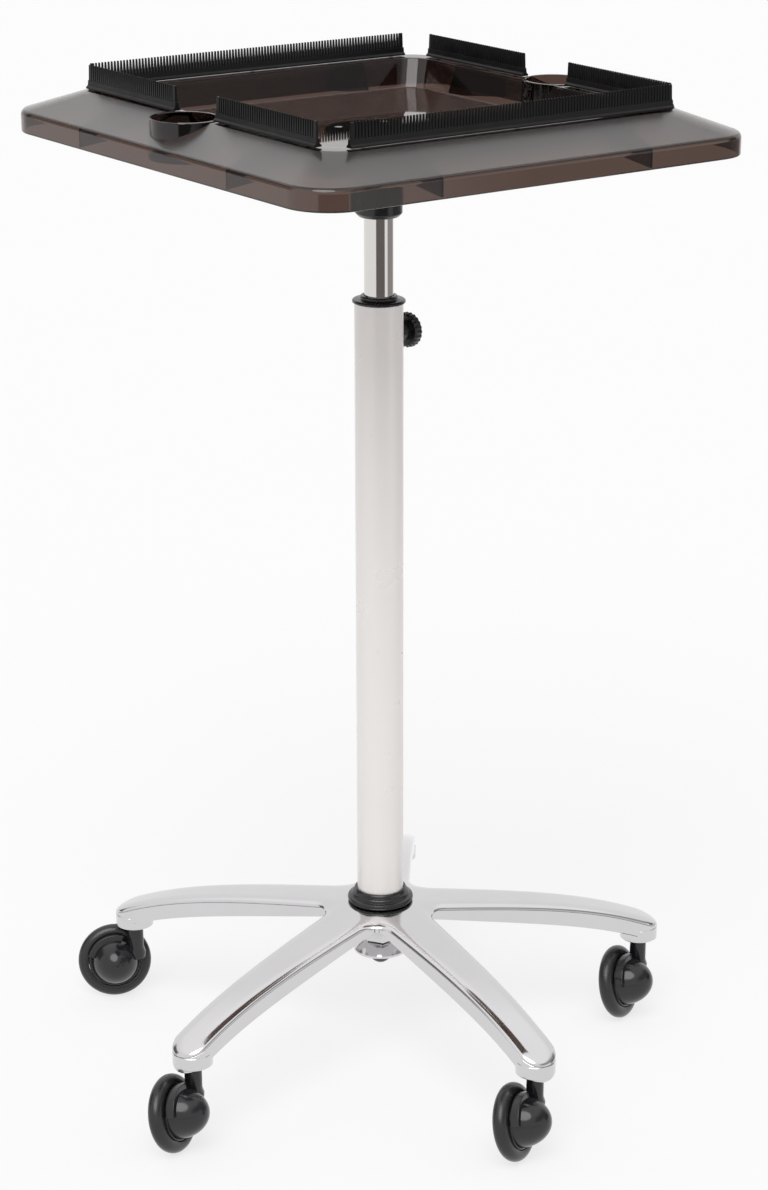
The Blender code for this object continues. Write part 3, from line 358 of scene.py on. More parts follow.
# for each finish: two colours that drift, the ends of the roughness, the size of the drift, the grain, and
# then wear, dust and the shader's own settings where they differ
finishLooks = {
    "smokedPlastic": dict(
        colour=(0.080, 0.047, 0.037), drift=(0.090, 0.055, 0.044), low=0.02, high=0.05, spread=25,
        stretch=(14,) * 3, strength=0.015, depth=0.0006, glass=True, satin=0.22,
        settings={"IOR": 1.52, "Coat Roughness": 0.5, "Coat IOR": 1.46},
    ),
    "combPlastic": dict(
        colour=(0.0050, 0.0048, 0.0050), drift=(0.0075, 0.0072, 0.0075), low=0.30, high=0.44, spread=90,
        stretch=(1800,) * 3, strength=0.10, depth=0.0001, wear=0.15, wornColour=(0.04, 0.04, 0.04),
        dust=0.02, settings={"Specular IOR Level": 0.22},
    ),
    "blackPlastic": dict(
        colour=(0.006, 0.006, 0.007), drift=(0.010, 0.010, 0.011), low=0.18, high=0.30, spread=120,
        stretch=(2400,) * 3, strength=0.12, depth=0.0001, wear=0.3, wornColour=(0.07, 0.07, 0.07),
        dust=0.02,
    ),
    "hoodPlastic": dict(
        colour=(0.008, 0.008, 0.010), drift=(0.012, 0.012, 0.014), low=0.12, high=0.20, spread=90,
        stretch=(700,) * 3, strength=0.08, depth=0.0001, wear=0.25, wornColour=(0.06, 0.06, 0.06),
        dust=0.025,
    ),
    "tyreRubber": dict(
        colour=(0.008, 0.008, 0.009), drift=(0.013, 0.013, 0.014), low=0.20, high=0.32, spread=160,
        stretch=(1500,) * 3, strength=0.10, depth=0.0001, dust=0.04,
    ),
    "chrome": dict(
        colour=(0.66, 0.64, 0.62), drift=(0.70, 0.685, 0.67), low=0.05, high=0.11, spread=60,
        stretch=(900, 900, 6), strength=0.05, depth=0.00005, metal=True,
    ),
    "satinWhite": dict(
        colour=(0.80, 0.765, 0.745), drift=(0.825, 0.795, 0.78), low=0.26, high=0.34, spread=30,
        stretch=(1400, 1400, 8), strength=0.004, depth=0.00005,
        settings={"Metallic": 0.05, "Coat Weight": 0.12, "Coat Roughness": 0.25},
    ),
    "polishedAluminium": dict(
        colour=(0.60, 0.59, 0.60), drift=(0.66, 0.65, 0.66), low=0.08, high=0.15, spread=35,
        stretch=(420,) * 3, strength=0.05, depth=0.0001, metal=True, wear=0.3, wornColour=(0.9, 0.9, 0.9),
    ),
    "zincSteel": dict(
        colour=(0.50, 0.50, 0.52), drift=(0.60, 0.60, 0.60), low=0.25, high=0.38, spread=220,
        stretch=(1600,) * 3, strength=0.10, depth=0.00005, metal=True,
    ),
    "nylon": dict(
        colour=(0.55, 0.53, 0.48), drift=(0.62, 0.60, 0.55), low=0.40, high=0.55, spread=80,
        stretch=(900,) * 3, strength=0.10, depth=0.0001,
    ),
}
dustColour = (0.30, 0.28, 0.26)
slotNames = {
    "smokedPlastic": "smoked_plastic", "combPlastic": "comb_plastic", "blackPlastic": "black_plastic",
    "hoodPlastic": "hood_plastic", "tyreRubber": "tyre_rubber", "chrome": "chrome",
    "satinWhite": "satin_white", "polishedAluminium": "polished_aluminium", "zincSteel": "zinc_steel",
    "nylon": "nylon",
}


def placeGroup(tree, effect, **values):
    node = addNode(tree, "ShaderNodeGroup", node_tree=effects[effect])
    for key, value in values.items():
        node.inputs[key].default_value = value
    return node


def mixColours(tree, mask, first, second):
    mix = addNode(tree, "ShaderNodeMix", data_type="RGBA")
    tree.links.new(mask, mix.inputs["Factor"])
    for socket, value in ((mix.inputs["A"], first), (mix.inputs["B"], second)):
        feed(tree, (*value, 1) if isinstance(value, tuple) else value, socket)
    return mix.outputs["Result"]


def newMaterial(name):
    made = bpy.data.materials.new(name)
    made.use_nodes = True
    return made, made.node_tree, made.node_tree.nodes["Principled BSDF"]


def makeFinish(name, look):
    made, tree, shader = newMaterial(name)
    drift = addNoise(tree, objectPlace(tree), look["spread"] * 0.6, 4.0)
    colour = mixColours(tree, drift, look["colour"], look["drift"])
    gloss = placeGroup(tree, "gloss", Low=look["low"], High=look["high"], Scale=look["spread"])
    roughness = gloss.outputs["Roughness"]
    grain = placeGroup(tree, "grain", Stretch=look["stretch"], Strength=look["strength"], Depth=look["depth"])
    tree.links.new(grain.outputs["Normal"], shader.inputs["Normal"])
    if "wear" in look:
        wear = placeGroup(tree, "wear", Amount=look["wear"])
        colour = mixColours(tree, wear.outputs["Mask"], colour, look["wornColour"])
    if "dust" in look:
        dust = placeGroup(tree, "dust", Amount=look["dust"])
        colour = mixColours(tree, dust.outputs["Mask"], colour, dustColour)
        roughness = addMath(tree, "ADD", roughness, dust.outputs["Mask"])
    tree.links.new(colour, shader.inputs["Base Color"])
    tree.links.new(roughness, shader.inputs["Roughness"])
    shader.inputs["Metallic"].default_value = 1.0 if look.get("metal") else 0.0
    if look.get("glass"):
        shader.inputs["Transmission Weight"].default_value = 1.0
        slope = placeGroup(tree, "slope", Satin=look["satin"])
        tree.links.new(roughness, slope.inputs["Roughness"])
        tree.links.new(slope.outputs["Roughness"], shader.inputs["Roughness"])
        tree.links.new(slope.outputs["Coat"], shader.inputs["Coat Weight"])
    for socket, value in look.get("settings", {}).items():
        shader.inputs[socket].default_value = value
    return made


finishes = {name: makeFinish(name, look) for name, look in finishLooks.items()}
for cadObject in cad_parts.values():
    for place in cadObject.material_slots:
        for finish, slotName in slotNames.items():
            if place.material and place.material.name.split(".")[0] == slotName:
                place.material = finishes[finish]
print("finishes made:", len(finishes))


# tray

tray = {
    "half": 0.214, "corner": 0.036, "bottom": 0.7972, "slopeFoot": 0.8137, "top": 0.831,
    "ledgeHalf": 0.172, "ledgeCorner": 0.026, "wellHalf": 0.157, "floorHalf": 0.148, "wellCorner": 0.020,
    "floor": 0.8079, "wall": 0.0025, "cornerSteps": 10, "softEdge": 0.0011, "rimRound": 0.005, "rimSteps": 6,
    "ribOffset": 0.101, "ribThickness": 0.002, "ribLift": 0.0015,
    "cupCentre": 0.176, "cupShift": 0.0082, "cupRadius": 0.0275, "cupWall": 0.0025, "cupDepth": 0.0275,
    "cupRim": 0.0008, "screwCircle": 0.032, "screwHole": 0.0018, "screwMouth": 0.0035, "countersink": 0.0019,
    "bridgeLift": 0.02, "softAngle": 14, "cupSoft": 0.0007, "cupSteps": 72, "screwSteps": 24,
}


def onRing(co, ring):
    half, corner, height = ring
    if abs(co.z - height) > 1e-5:
        return False
    across = max(abs(co.x) - half + corner, 0.0)
    along = max(abs(co.y) - half + corner, 0.0)
    return abs(hypot(across, along) - corner) < 2e-5


def addRing(ring):
    half, corner, height = ring
    selectAll("DESELECT")
    bpy.ops.mesh.primitive_plane_add(size=2 * half, location=(0, 0, height))
    bpy.ops.mesh.bevel(offset=corner, segments=tray["cornerSteps"], affect="VERTICES")
    bpy.ops.mesh.delete(type="ONLY_FACE")


def rimRings():
    # round from the slope into the skirt
    r = tray["rimRound"]
    lean = atan2(tray["half"] - tray["ledgeHalf"], tray["top"] - tray["slopeFoot"])
    middle = tray["slopeFoot"] - r * tan(lean / 2)
    rings = []
    for k in range(tray["rimSteps"] + 1):
        a = lean * (1 - k / tray["rimSteps"])
        inset = r * (1 - cos(a))
        rings.append((tray["half"] - inset, tray["corner"] - inset, middle + r * sin(a)))
    return rings


def trayRings():
    t = tray["wall"]
    return [
        (tray["floorHalf"], tray["wellCorner"], tray["floor"]),
        (tray["wellHalf"], tray["wellCorner"], tray["top"]),
        (tray["ledgeHalf"], tray["ledgeCorner"], tray["top"]),
        *rimRings(),
        (tray["half"], tray["corner"], tray["bottom"]),
        (tray["half"] - t, tray["corner"] - t, tray["bottom"]),
        (tray["half"] - t, tray["corner"] - t, tray["slopeFoot"] - t / 2),
        (tray["ledgeHalf"] - t / 2, tray["ledgeCorner"] - t / 2, tray["top"] - t),
        (tray["wellHalf"] + t, tray["wellCorner"] + t, tray["top"] - t),
        (tray["floorHalf"] + t, tray["wellCorner"] + t, tray["floor"] - t),
    ]


def trayRib():
    # plate across the hollow rim, trimmed to the slope, to the well's wall and up towards its floor
    t = tray["wall"]
    inner = tray["floorHalf"] + t / 2
    outer = tray["half"] - t / 2
    low = tray["bottom"] + tray["ribLift"]
    high = tray["top"] - t / 2
    rise = tray["floor"] - 0.75 * t - low
    size = (outer - inner, tray["ribThickness"], high - low)
    rib = makeBox("trayRib", size, ((inner + outer) / 2, 0, (low + high) / 2))
    editAll(rib)
    slope = Vector((tray["half"] - tray["ledgeHalf"], 0, tray["slopeFoot"] - tray["top"]))
    wall = (tray["floor"] - tray["top"], 0, tray["wellHalf"] - tray["floorHalf"])
    cuts = [
        ((outer, 0, tray["slopeFoot"] - t / 2), (-slope.z, 0, slope.x)),
        ((inner, 0, tray["floor"]), wall),
        ((outer, 0, low), (-rise, 0, inner - outer)),
    ]
    for spot, normal in cuts:
        cutAway(spot, normal)
    leaveEditMode()
    return rib


def trayRibs():
    rib = trayRib()
    ribs = []
    for quarter in range(4):
        turn = Matrix.Rotation(quarter * pi / 2, 4, "Z")
        for side in (-1, 1):
            spot = turn @ Matrix.Translation((0, side * tray["ribOffset"], 0))
            ribs.append(copyPiece(rib, "ribCopy", spot))
    bpy.data.objects.remove(rib)
    return joinPieces(*ribs)


def screwSpots():
    spots = []
    for k in range(4):
        a = pi / 4 + k * pi / 2
        spots.append(Matrix.Translation((tray["screwCircle"] * cos(a), tray["screwCircle"] * sin(a), 0)))
    return spots


def makeTray():
    rings = trayRings()
    leaveEditMode()
    bpy.ops.mesh.primitive_plane_add(size=2 * rings[0][0], location=(0, 0, rings[0][2]))
    shell = settle(nameNew("trayShell"))
    editAll(shell)
    bpy.ops.mesh.bevel(offset=rings[0][1], segments=tray["cornerSteps"], affect="VERTICES")
    for before, ring in zip(rings, rings[1:]):
        # level rings are bridged apart, or they twist
        lift = tray["bridgeLift"] if ring[2] == before[2] else 0.0
        raised = (ring[0], ring[1], ring[2] + lift)
        addRing(raised)
        selectWhere(shell, lambda co: onRing(co, before) or onRing(co, raised))
        bpy.ops.mesh.bridge_edge_loops()
        selectWhere(shell, lambda co: onRing(co, raised))
        bpy.ops.transform.translate(value=(0, 0, -lift))
    selectWhere(shell, lambda co: onRing(co, rings[-1]))
    bpy.ops.mesh.edge_face_add()
    closeMesh()
    softenEdges(shell, tray["softEdge"], 2, tray["softAngle"])
    combine(shell, trayRibs(), "UNION")
    addCups(shell)
    sinkScrewHoles(shell)
    finishPiece(shell, "smokedPlastic", "mast", "tray_shell", smooth=20)
    print("tray shell:", len(shell.data.polygons), "faces")


def addCups(shell):
    # the two round holders beside the well
    floor = tray["top"] - tray["cupDepth"]
    rim = tray["top"] + tray["cupRim"]
    inside = tray["cupRadius"] - tray["cupWall"]
    soft = tray["cupWall"] / 3
    block = rodOutline(tray["cupRadius"], floor - tray["cupWall"], rim)
    hollow = [
        (0, floor), (inside - soft, floor), (inside, floor + soft), (inside, rim - soft / 2),
        (inside + soft / 2, rim), (inside + soft / 2, rim + soft * 3), (0, rim + soft * 3),
    ]
    for side in (1, -1):
        spot = Matrix.Translation((side * tray["cupCentre"], -side * tray["cupShift"], 0))
        body = softenEdges(turnPiece("cupBody", block, tray["cupSteps"]), tray["cupSoft"])
        combine(shell, settle(body, spot), "UNION")
        combine(shell, settle(turnPiece("cupHollow", hollow, tray["cupSteps"]), spot), "DIFFERENCE")


def sinkScrewHoles(shell):
    deep = tray["floor"] - 3 * tray["wall"]
    clear = tray["floor"] + tray["wall"]
    sunk = [
        (0, deep), (tray["screwHole"], deep), (tray["screwHole"], tray["floor"] - tray["countersink"]),
        (tray["screwMouth"], tray["floor"]), (tray["screwMouth"], clear), (0, clear),
    ]
    for spot in screwSpots():
        combine(shell, settle(turnPiece("screwHole", sunk, tray["screwSteps"]), spot), "DIFFERENCE")


makeTray()


# combs

comb = {
    "centre": 0.1655, "railZ": 0.8318, "height": 0.0185, "railHeight": 0.0064, "railWidth": 0.0034,
    "footWidth": 0.0068, "footHeight": 0.0026, "pitch": 0.0029, "rootWidth": 0.0022, "tipShare": 0.40,
    "toothDepth": 0.0022, "endTooth": 0.0042, "postRadius": 0.0019, "postInset": 0.012,
    "long": 0.311, "longShift": 0.0065, "rear": 0.1245, "front": 0.1285, "endGap": 0.0014, "footEnd": 0.0008,
    "rootShare": 0.7, "tipDepth": 0.72, "toothBevel": 0.12, "footShare": 0.5, "railTaper": 0.8,
    "railSoft": 0.00025, "railAngle": 25, "endShare": 0.94, "endTip": 0.8, "smooth": 30,
    "manyPosts": 0.2, "postSteps": 20, "postSoft": 0.0003,
}


def makeTooth(width, tipShare, x):
    root = comb["railZ"] + comb["railHeight"] * comb["rootShare"]
    top = comb["railZ"] + comb["height"]
    tooth = makeBox("tooth", (width, comb["toothDepth"], top - root), (x, 0, (root + top) / 2))
    editAll(tooth)
    selectWhere(tooth, lambda co: co.z > top - 1e-5)
    bpy.ops.transform.resize(value=(tipShare, comb["tipDepth"], 1), center_override=(x, 0, top))
    bpy.ops.mesh.bevel(offset=width * comb["toothBevel"], segments=2)
    leaveEditMode()
    return tooth


def makeRail(name, length):
    # a foot that narrows into an upright rail
    low = comb["railZ"]
    leaveEditMode()
    bpy.ops.mesh.primitive_plane_add(size=1, location=(0, 0, low))
    rail = nameNew(name)
    rail.scale = (length + 2 * comb["footEnd"], comb["footWidth"], 1)
    settle(rail)
    editAll(rail)
    lift = comb["footHeight"] * comb["footShare"]
    extrudeBy((0, 0, lift))
    extrudeBy((0, 0, comb["footHeight"] - lift))
    bpy.ops.transform.resize(value=(1, comb["railWidth"] / comb["footWidth"], 1), center_override=(0, 0, low))
    extrudeBy((0, 0, comb["railHeight"] - comb["footHeight"]))
    bpy.ops.transform.resize(value=(1, comb["railTaper"], 1), center_override=(0, 0, low))
    closeMesh()
    return softenEdges(rail, comb["railSoft"], 2, comb["railAngle"])


def makeTeeth(length):
    # an even row, with a broad tooth at each end
    free = length - 2 * comb["endTooth"]
    count = round(free / comb["pitch"])
    pitch = free / count
    row = makeTooth(comb["rootWidth"], comb["tipShare"], (pitch - free) / 2)
    repeat = row.modifiers.new("row", "ARRAY")
    repeat.count = count
    repeat.use_relative_offset = False
    repeat.use_constant_offset = True
    repeat.constant_offset_displace = (pitch, 0, 0)
    pickOnly(row)
    bpy.ops.object.modifier_apply(modifier=repeat.name)
    width = comb["endTooth"] * comb["endShare"]
    ends = [makeTooth(width, comb["endTip"], side * (length - width) / 2) for side in (-1, 1)]
    return [row] + ends


def makeComb(name, length, centre, heading):
    rail = makeRail(name, length)
    pieces = makeTeeth(length)
    end = length / 2 - comb["postInset"]
    high = comb["railZ"] + comb["footHeight"] * comb["footShare"]
    for x in [-end, 0.0, end] if length > comb["manyPosts"] else [-end, end]:
        post = turnPiece("post", rodOutline(comb["postRadius"], tray["top"] + gap, high), comb["postSteps"])
        softenEdges(post, comb["postSoft"], 1)
        pieces.append(settle(post, Matrix.Translation((x, 0, 0))))
    joinPieces(rail, *pieces)
    return settle(rail, Matrix.Translation(centre) @ Matrix.Rotation(heading, 4, "Z"))


def makeCombs():
    beside = tray["cupCentre"] - comb["centre"] - comb["footWidth"] / 2
    reach = sqrt(tray["cupRadius"] ** 2 - beside ** 2) + comb["endGap"]
    rear = Vector((-comb["centre"], tray["cupShift"] + reach + comb["rear"] / 2, 0))
    front = Vector((-comb["centre"], tray["cupShift"] - reach - comb["front"] / 2, 0))
    longOne = Vector((comb["longShift"], -comb["centre"], 0))
    layout = [
        ("front", "back", comb["long"], longOne, 0.0),
        ("left_rear", "right_front", comb["rear"], rear, -pi / 2),
        ("left_front", "right_rear", comb["front"], front, -pi / 2),
    ]
    for name, opposite, length, centre, heading in layout:
        first = makeComb("comb" + name.title().replace("_", ""), length, centre, heading)
        other = copyPiece(first, "comb" + opposite.title().replace("_", ""), Matrix.Rotation(pi, 4, "Z"))
        for piece, end in ((first, name), (other, opposite)):
            finishPiece(piece, "combPlastic", "mast", "comb_" + end, smooth=comb["smooth"])
    print("combs: 6")


makeCombs()


# socket, screws, mast and column

mast = {
    "radius": 0.012, "wall": 0.0015, "foot": 0.322, "top": 0.790,
    "socketRadius": 0.0192, "socketBottom": 0.738, "plateRadius": 0.043, "plateTop": 0.8051,
    "plateThickness": 0.005, "columnRadius": 0.020, "columnFoot": 0.1235, "columnTop": 0.668,
    "flangeRadius": 0.0218, "flange": 0.0028, "lipRadius": 0.0155, "lip": 0.003, "bushDepth": 0.012,
    "screwHead": 0.0029, "screwHeadHeight": 0.0016, "screwRadius": 0.0015, "screwBite": 0.004,
    "screwSink": 0.00015, "screwEdge": 0.0002, "slotLength": 1.1, "slotWidth": 0.22,
    "firstScrew": radians(17), "screwTurn": radians(61), "socketTaper": 0.003, "socketSoft": 0.0006,
}


def makeSocket():
    bore = mast["radius"] + gap
    top = mast["top"] + gap
    low = mast["socketBottom"]
    wide = mast["socketRadius"]
    plate = mast["plateRadius"]
    high = mast["plateTop"]
    plateLow = high - mast["plateThickness"]
    flare = (plate - wide) / 4
    taper = mast["socketTaper"]
    outline = [
        (0, top), (bore, top), (bore, low), (wide - taper, low), (wide, low + taper),
        (wide, plateLow - flare), (wide + flare * 0.3, plateLow - flare * 0.3), (wide + flare, plateLow),
        (plate, plateLow), (plate, high), (0, high),
    ]
    socket = softenEdges(turnPiece("traySocket", outline), mast["socketSoft"])
    hole = rodOutline(tray["screwHole"], high - mast["screwBite"] - gap, high + overrun)
    for spot in screwSpots():
        cutter = settle(turnPiece("hole", hole, tray["screwSteps"]), spot)
        combine(socket, cutter, "DIFFERENCE", "EXACT")
    finishPiece(socket, "blackPlastic", "mast", "tray_socket")


def makeScrews():
    # countersunk, flush with the tray's floor, with a cross recess
    top = tray["floor"] - mast["screwSink"]
    head = mast["screwHead"]
    low = mast["plateTop"] - mast["screwBite"]
    outline = [
        (0, low), (mast["screwRadius"], low), (mast["screwRadius"], top - mast["screwHeadHeight"]),
        (head, top - mast["screwEdge"]), (head, top), (0, top),
    ]
    screw = turnPiece("socketScrew", outline, 40)
    size = (head * mast["slotLength"], head * mast["slotWidth"], mast["screwHeadHeight"])
    for turn in (0, pi / 2):
        combine(screw, makeBox("slot", size, (0, 0, top), turn), "DIFFERENCE", "EXACT")
    softenEdges(screw, 0.00006, 1, 50)
    for k, spot in enumerate(screwSpots()):
        turned = spot @ Matrix.Rotation(mast["firstScrew"] + mast["screwTurn"] * k, 4, "Z")
        piece = copyPiece(screw, "socketScrew%d" % (k + 1), turned)
        finishPiece(piece, "zincSteel", "mast", "socket_screw_%d" % (k + 1))
    bpy.data.objects.remove(screw)


def tubeOutline(radius, low, high):
    inner = radius - mast["wall"]
    return [(inner, low), (radius, low), (radius, high), (inner, high)]


def makeMastAndColumn():
    outline = tubeOutline(mast["radius"], mast["foot"], mast["top"])
    finishTurned("innerTube", outline, 96, 0.0003, 2, "chrome", "mast", "inner_tube")
    outline = tubeOutline(mast["columnRadius"], mast["columnFoot"], mast["columnTop"])
    finishTurned("columnTube", outline, 112, 0.0004, 2, "satinWhite", "base", "column_tube")
    bore = mast["radius"] + gap
    slide = mast["columnRadius"] - mast["wall"] - gap
    low = mast["columnTop"] - mast["bushDepth"]
    seat = mast["columnTop"] + gap
    face = seat + mast["flange"]
    wide = mast["flangeRadius"]
    thick = mast["flange"]
    lip = mast["lipRadius"]
    rise = mast["lip"]
    outline = [
        (bore, face + rise), (bore, low), (slide, low), (slide, seat), (wide, seat),
        (wide, seat + thick * 0.62), (wide - thick * 0.4, seat + thick * 0.9), (lip + 0.0012, face),
        (lip, face + 0.0007), (lip, face + rise * 0.7), (lip - rise * 0.3, face + rise),
    ]
    finishTurned("columnBush", outline, 96, 0.0005, 3, "blackPlastic", "base", "column_bush")
    print("socket, mast and column made")


makeSocket()
makeScrews()
makeMastAndColumn()


# clamp: local Z runs out of the column

clamp = {
    "height": 0.6395, "heading": radians(10), "front": 0.0265, "length": 0.0115, "radius": 0.0145,
    "ridges": 22, "ridgeDepth": 0.0007, "chamfer": 0.0016, "collarRadius": 0.0078, "collarLength": 0.0035,
    "bossRadius": 0.0085, "bossStart": 0.0185, "bossReach": 0.0262, "screwRadius": 0.004, "screwDepth": 0.007,
    "rimWidth": 0.0008, "rimOuter": 0.72, "rimInner": 0.66, "gripFrom": 0.85, "ridgeSteps": 6,
    "seatLow": 0.62, "seatHigh": 0.664,
    "grip": ((0, 1.0), (1, 0.75), (5, 0.75), (2, 0.25), (4, 0.25)),  # step of a ridge, share of its depth
}


def clampPlace():
    return (Matrix.Translation((0, 0, clamp["height"])) @ Matrix.Rotation(clamp["heading"], 4, "Z")
            @ Matrix.Rotation(pi / 2, 4, "Y"))


def makeKnob():
    front = clamp["front"]
    back = front + clamp["length"]
    face = back - clamp["rimWidth"]
    collar = front + clamp["collarLength"]
    bore = clamp["screwRadius"] + gap
    wide = clamp["radius"]
    cut = clamp["chamfer"]
    outline = [
        (0, front + clamp["screwDepth"]), (bore, front + clamp["screwDepth"]), (bore, front),
        (clamp["collarRadius"], front), (clamp["collarRadius"], collar), (wide - cut, collar),
        (wide, collar + cut), (wide, back - cut), (wide - cut, back),
        (wide * clamp["rimOuter"], back), (wide * clamp["rimInner"], face), (0, face),
    ]
    steps = clamp["ridges"] * clamp["ridgeSteps"]
    knob = turnPiece("clampKnob", outline, steps)
    editAll(knob)
    for phase, share in clamp["grip"]:
        def onPhase(co):
            if hypot(co.x, co.y) < wide * clamp["gripFrom"]:
                return False
            return round(atan2(co.y, co.x) / (2 * pi) * steps) % clamp["ridgeSteps"] == phase
        selectWhere(knob, onPhase)
        small = 1 - share * clamp["ridgeDepth"] / wide
        bpy.ops.transform.resize(value=(small, small, 1), center_override=(0, 0, 0))
    leaveEditMode()
    softenEdges(knob, 0.0003, 2, 38)
    finishPiece(settle(knob, clampPlace()), "blackPlastic", "knob", "clamp_knob")


def makeBoss():
    # threaded boss between the column and the knob, seated on the column
    bore = clamp["screwRadius"] + gap
    outline = [
        (bore, clamp["bossStart"]), (clamp["bossRadius"], clamp["bossStart"]),
        (clamp["bossRadius"], clamp["bossReach"]), (bore, clamp["bossReach"]),
    ]
    boss = softenEdges(turnPiece("clampBoss", outline, 64, closed=True), 0.0006, 3)
    settle(boss, clampPlace())
    outline = rodOutline(mast["columnRadius"] + gap, clamp["seatLow"], clamp["seatHigh"])
    combine(boss, turnPiece("seat", outline, 112), "DIFFERENCE", "EXACT")
    finishPiece(boss, "blackPlastic", "base", "clamp_boss")


makeKnob()
makeBoss()
print("clamp made")


# star base

star = {
    "arms": 5, "firstArm": radians(-94.8), "circle": 0.2409, "hubTop": 0.1375, "flatRadius": 0.030,
    "straightDrop": 0.0265, "curvedDrop": 0.0150, "rootHalf": 0.0232, "tipHalf": 0.0166,
    "wallHeight": 0.0191, "rootLift": 0.0071, "plate": 0.0042, "rollWidth": 0.0098, "rollDrop": 0.0036,
    "wallInset": 0.0004, "grooveInset": 0.0010, "grooveHeight": 0.0006,
    "crotch": 0.018, "innerCrotch": 0.005, "crotchSpread": 0.9, "skin": 0.0036,
    "arcSteps": 10, "straightSteps": 30, "tipSteps": 12, "bossRadius": 0.0168, "tipBottom": 0.0727,
    "hubBottom": 0.1192, "hubFloor": 0.004, "hubBossRadius": 0.0255,
    "stemRadius": 0.0055, "boltRadius": 0.005, "channelStart": 0.046, "channelSteps": 12,
    "boreLow": 0.0690, "boreDepth": 0.0145, "softEdge": 0.0005, "grooveStep": 0.0004, "tuck": 0.8,
    "wallEdge": ((0, 0.0008), (0.0003, 0.0002), (0.0010, 0)), "bendSteps": 6, "taper": 1.57,
    "rowShares": (-0.6, -0.2, 0.2, 0.6),
    "hubScales": (0.86, 0.72, 0.58, 0.40), "rollShares": (0.0, 0.2, 0.4, 0.58, 0.74, 0.86, 0.95, 1.0),
}


def armTurn(k):
    return Matrix.Rotation(star["firstArm"] + 2 * pi * k / star["arms"], 4, "Z")


def armRun(r):
    run = (r - star["flatRadius"]) / (star["circle"] - star["flatRadius"])
    return (run + hypot(run, 0.03)) / 2


def armTop(r):
    run = armRun(r)
    return star["hubTop"] - star["straightDrop"] * run - star["curvedDrop"] * run ** 4


def armLow(r):
    share = max(0.0, 1.0 - armRun(r) * 1.35)
    return armTop(r) - star["wallHeight"] + star["rootLift"] * share ** 2


def armHalf(x):
    share = max(0.0, 1.0 - max(0.0, (x - star["flatRadius"]) / (star["circle"] - star["flatRadius"])))
    return star["tipHalf"] + (star["rootHalf"] - star["tipHalf"]) * share ** star["taper"]


def halfArm(inset, crotch, spread=0.0):
    # plan points of one side of an arm, from the crotch to the tip
    halfAngle = pi / star["arms"]
    tangent = star["circle"] / 4
    for _ in range(star["bendSteps"]):
        tangent = (armHalf(tangent) + crotch) / sin(halfAngle) * cos(halfAngle)
    centreY = tangent * sin(halfAngle) / cos(halfAngle)
    points = []
    for k in range(star["arcSteps"]):
        share = k / star["arcSteps"]
        a = halfAngle + (pi / 2 - halfAngle) * share
        r = crotch + inset * (1 + spread * (1 - share) ** 2)
        points.append((tangent - r * cos(a), centreY - r * sin(a)))
    for k in range(star["straightSteps"]):
        x = tangent + (star["circle"] - tangent) * k / star["straightSteps"]
        points.append((x, armHalf(x) - inset))
    for k in range(star["tipSteps"] + 1):
        a = pi / 2 * (1 - k / star["tipSteps"])
        radius = star["tipHalf"] - inset
        points.append((star["circle"] + radius * cos(a), radius * sin(a)))
    points[-1] = (points[-1][0], 0.0)
    return points


def starLoop(mesh, edge, height):
    # closed outline round all five arms
    loop = []
    outline = [(x, -y) for x, y in edge] + edge[-2:0:-1]
    for k in range(star["arms"]):
        for x, y in outline:
            loop.append(mesh.verts.new(armTurn(k) @ Vector((x, y, height(hypot(x, y))))))
    return loop


def joinLoops(mesh, upper, lower):
    count = len(upper)
    for i in range(count):
        j = (i + 1) % count
        mesh.faces.new((upper[i], upper[j], lower[j], lower[i]))


def fillStar(mesh, loop, edge, height):
    # rows across each arm and shrinking pentagons over the hub
    perArm = 2 * len(edge) - 2
    hubLine = []
    for k in range(star["arms"]):
        before = None
        for row, (x, y) in enumerate(edge[:-1]):
            line = [loop[k * perArm + row]]
            for share in star["rowShares"]:
                spot = Vector((x, share * y, height(hypot(x, share * y))))
                line.append(mesh.verts.new(armTurn(k) @ spot))
            line.append(loop[((k + 1) * perArm - row) % len(loop)])
            if before:
                for a, b, c, d in zip(before, before[1:], line[1:], line):
                    mesh.faces.new((a, b, c, d))
            else:
                hubLine += line[:-1]
            before = line
        tip = loop[k * perArm + len(edge) - 1]
        for a, b in zip(before, before[1:]):
            mesh.faces.new((a, b, tip))
    outer = hubLine
    for scale in star["hubScales"]:
        inner = []
        for vert in hubLine:
            r = hypot(vert.co.x, vert.co.y) * scale
            inner.append(mesh.verts.new((vert.co.x * scale, vert.co.y * scale, height(r))))
        joinLoops(mesh, outer, inner)
        outer = inner
    middle = mesh.verts.new((0, 0, height(0)))
    for i, vert in enumerate(outer):
        mesh.faces.new((vert, outer[(i + 1) % len(outer)], middle))


def meshPiece(name, mesh):
    bmesh.ops.recalc_face_normals(mesh, faces=mesh.faces)
    data = bpy.data.meshes.new(name)
    mesh.to_mesh(data)
    mesh.free()
    return placeNew(name, data)


def starSolid(name, levels):
    # levels: inset, crotch radius, crotch spread, height; the first and last are filled
    mesh = bmesh.new()
    edges = [halfArm(*level[:3]) for level in levels]
    loops = [starLoop(mesh, edge, level[3]) for edge, level in zip(edges, levels)]
    for upper, lower in zip(loops, loops[1:]):
        joinLoops(mesh, upper, lower)
    fillStar(mesh, loops[0], edges[0], levels[0][3])
    fillStar(mesh, loops[-1], edges[-1], levels[-1][3])
    bmesh.ops.remove_doubles(mesh, verts=mesh.verts, dist=1e-7)
    return meshPiece(name, mesh)


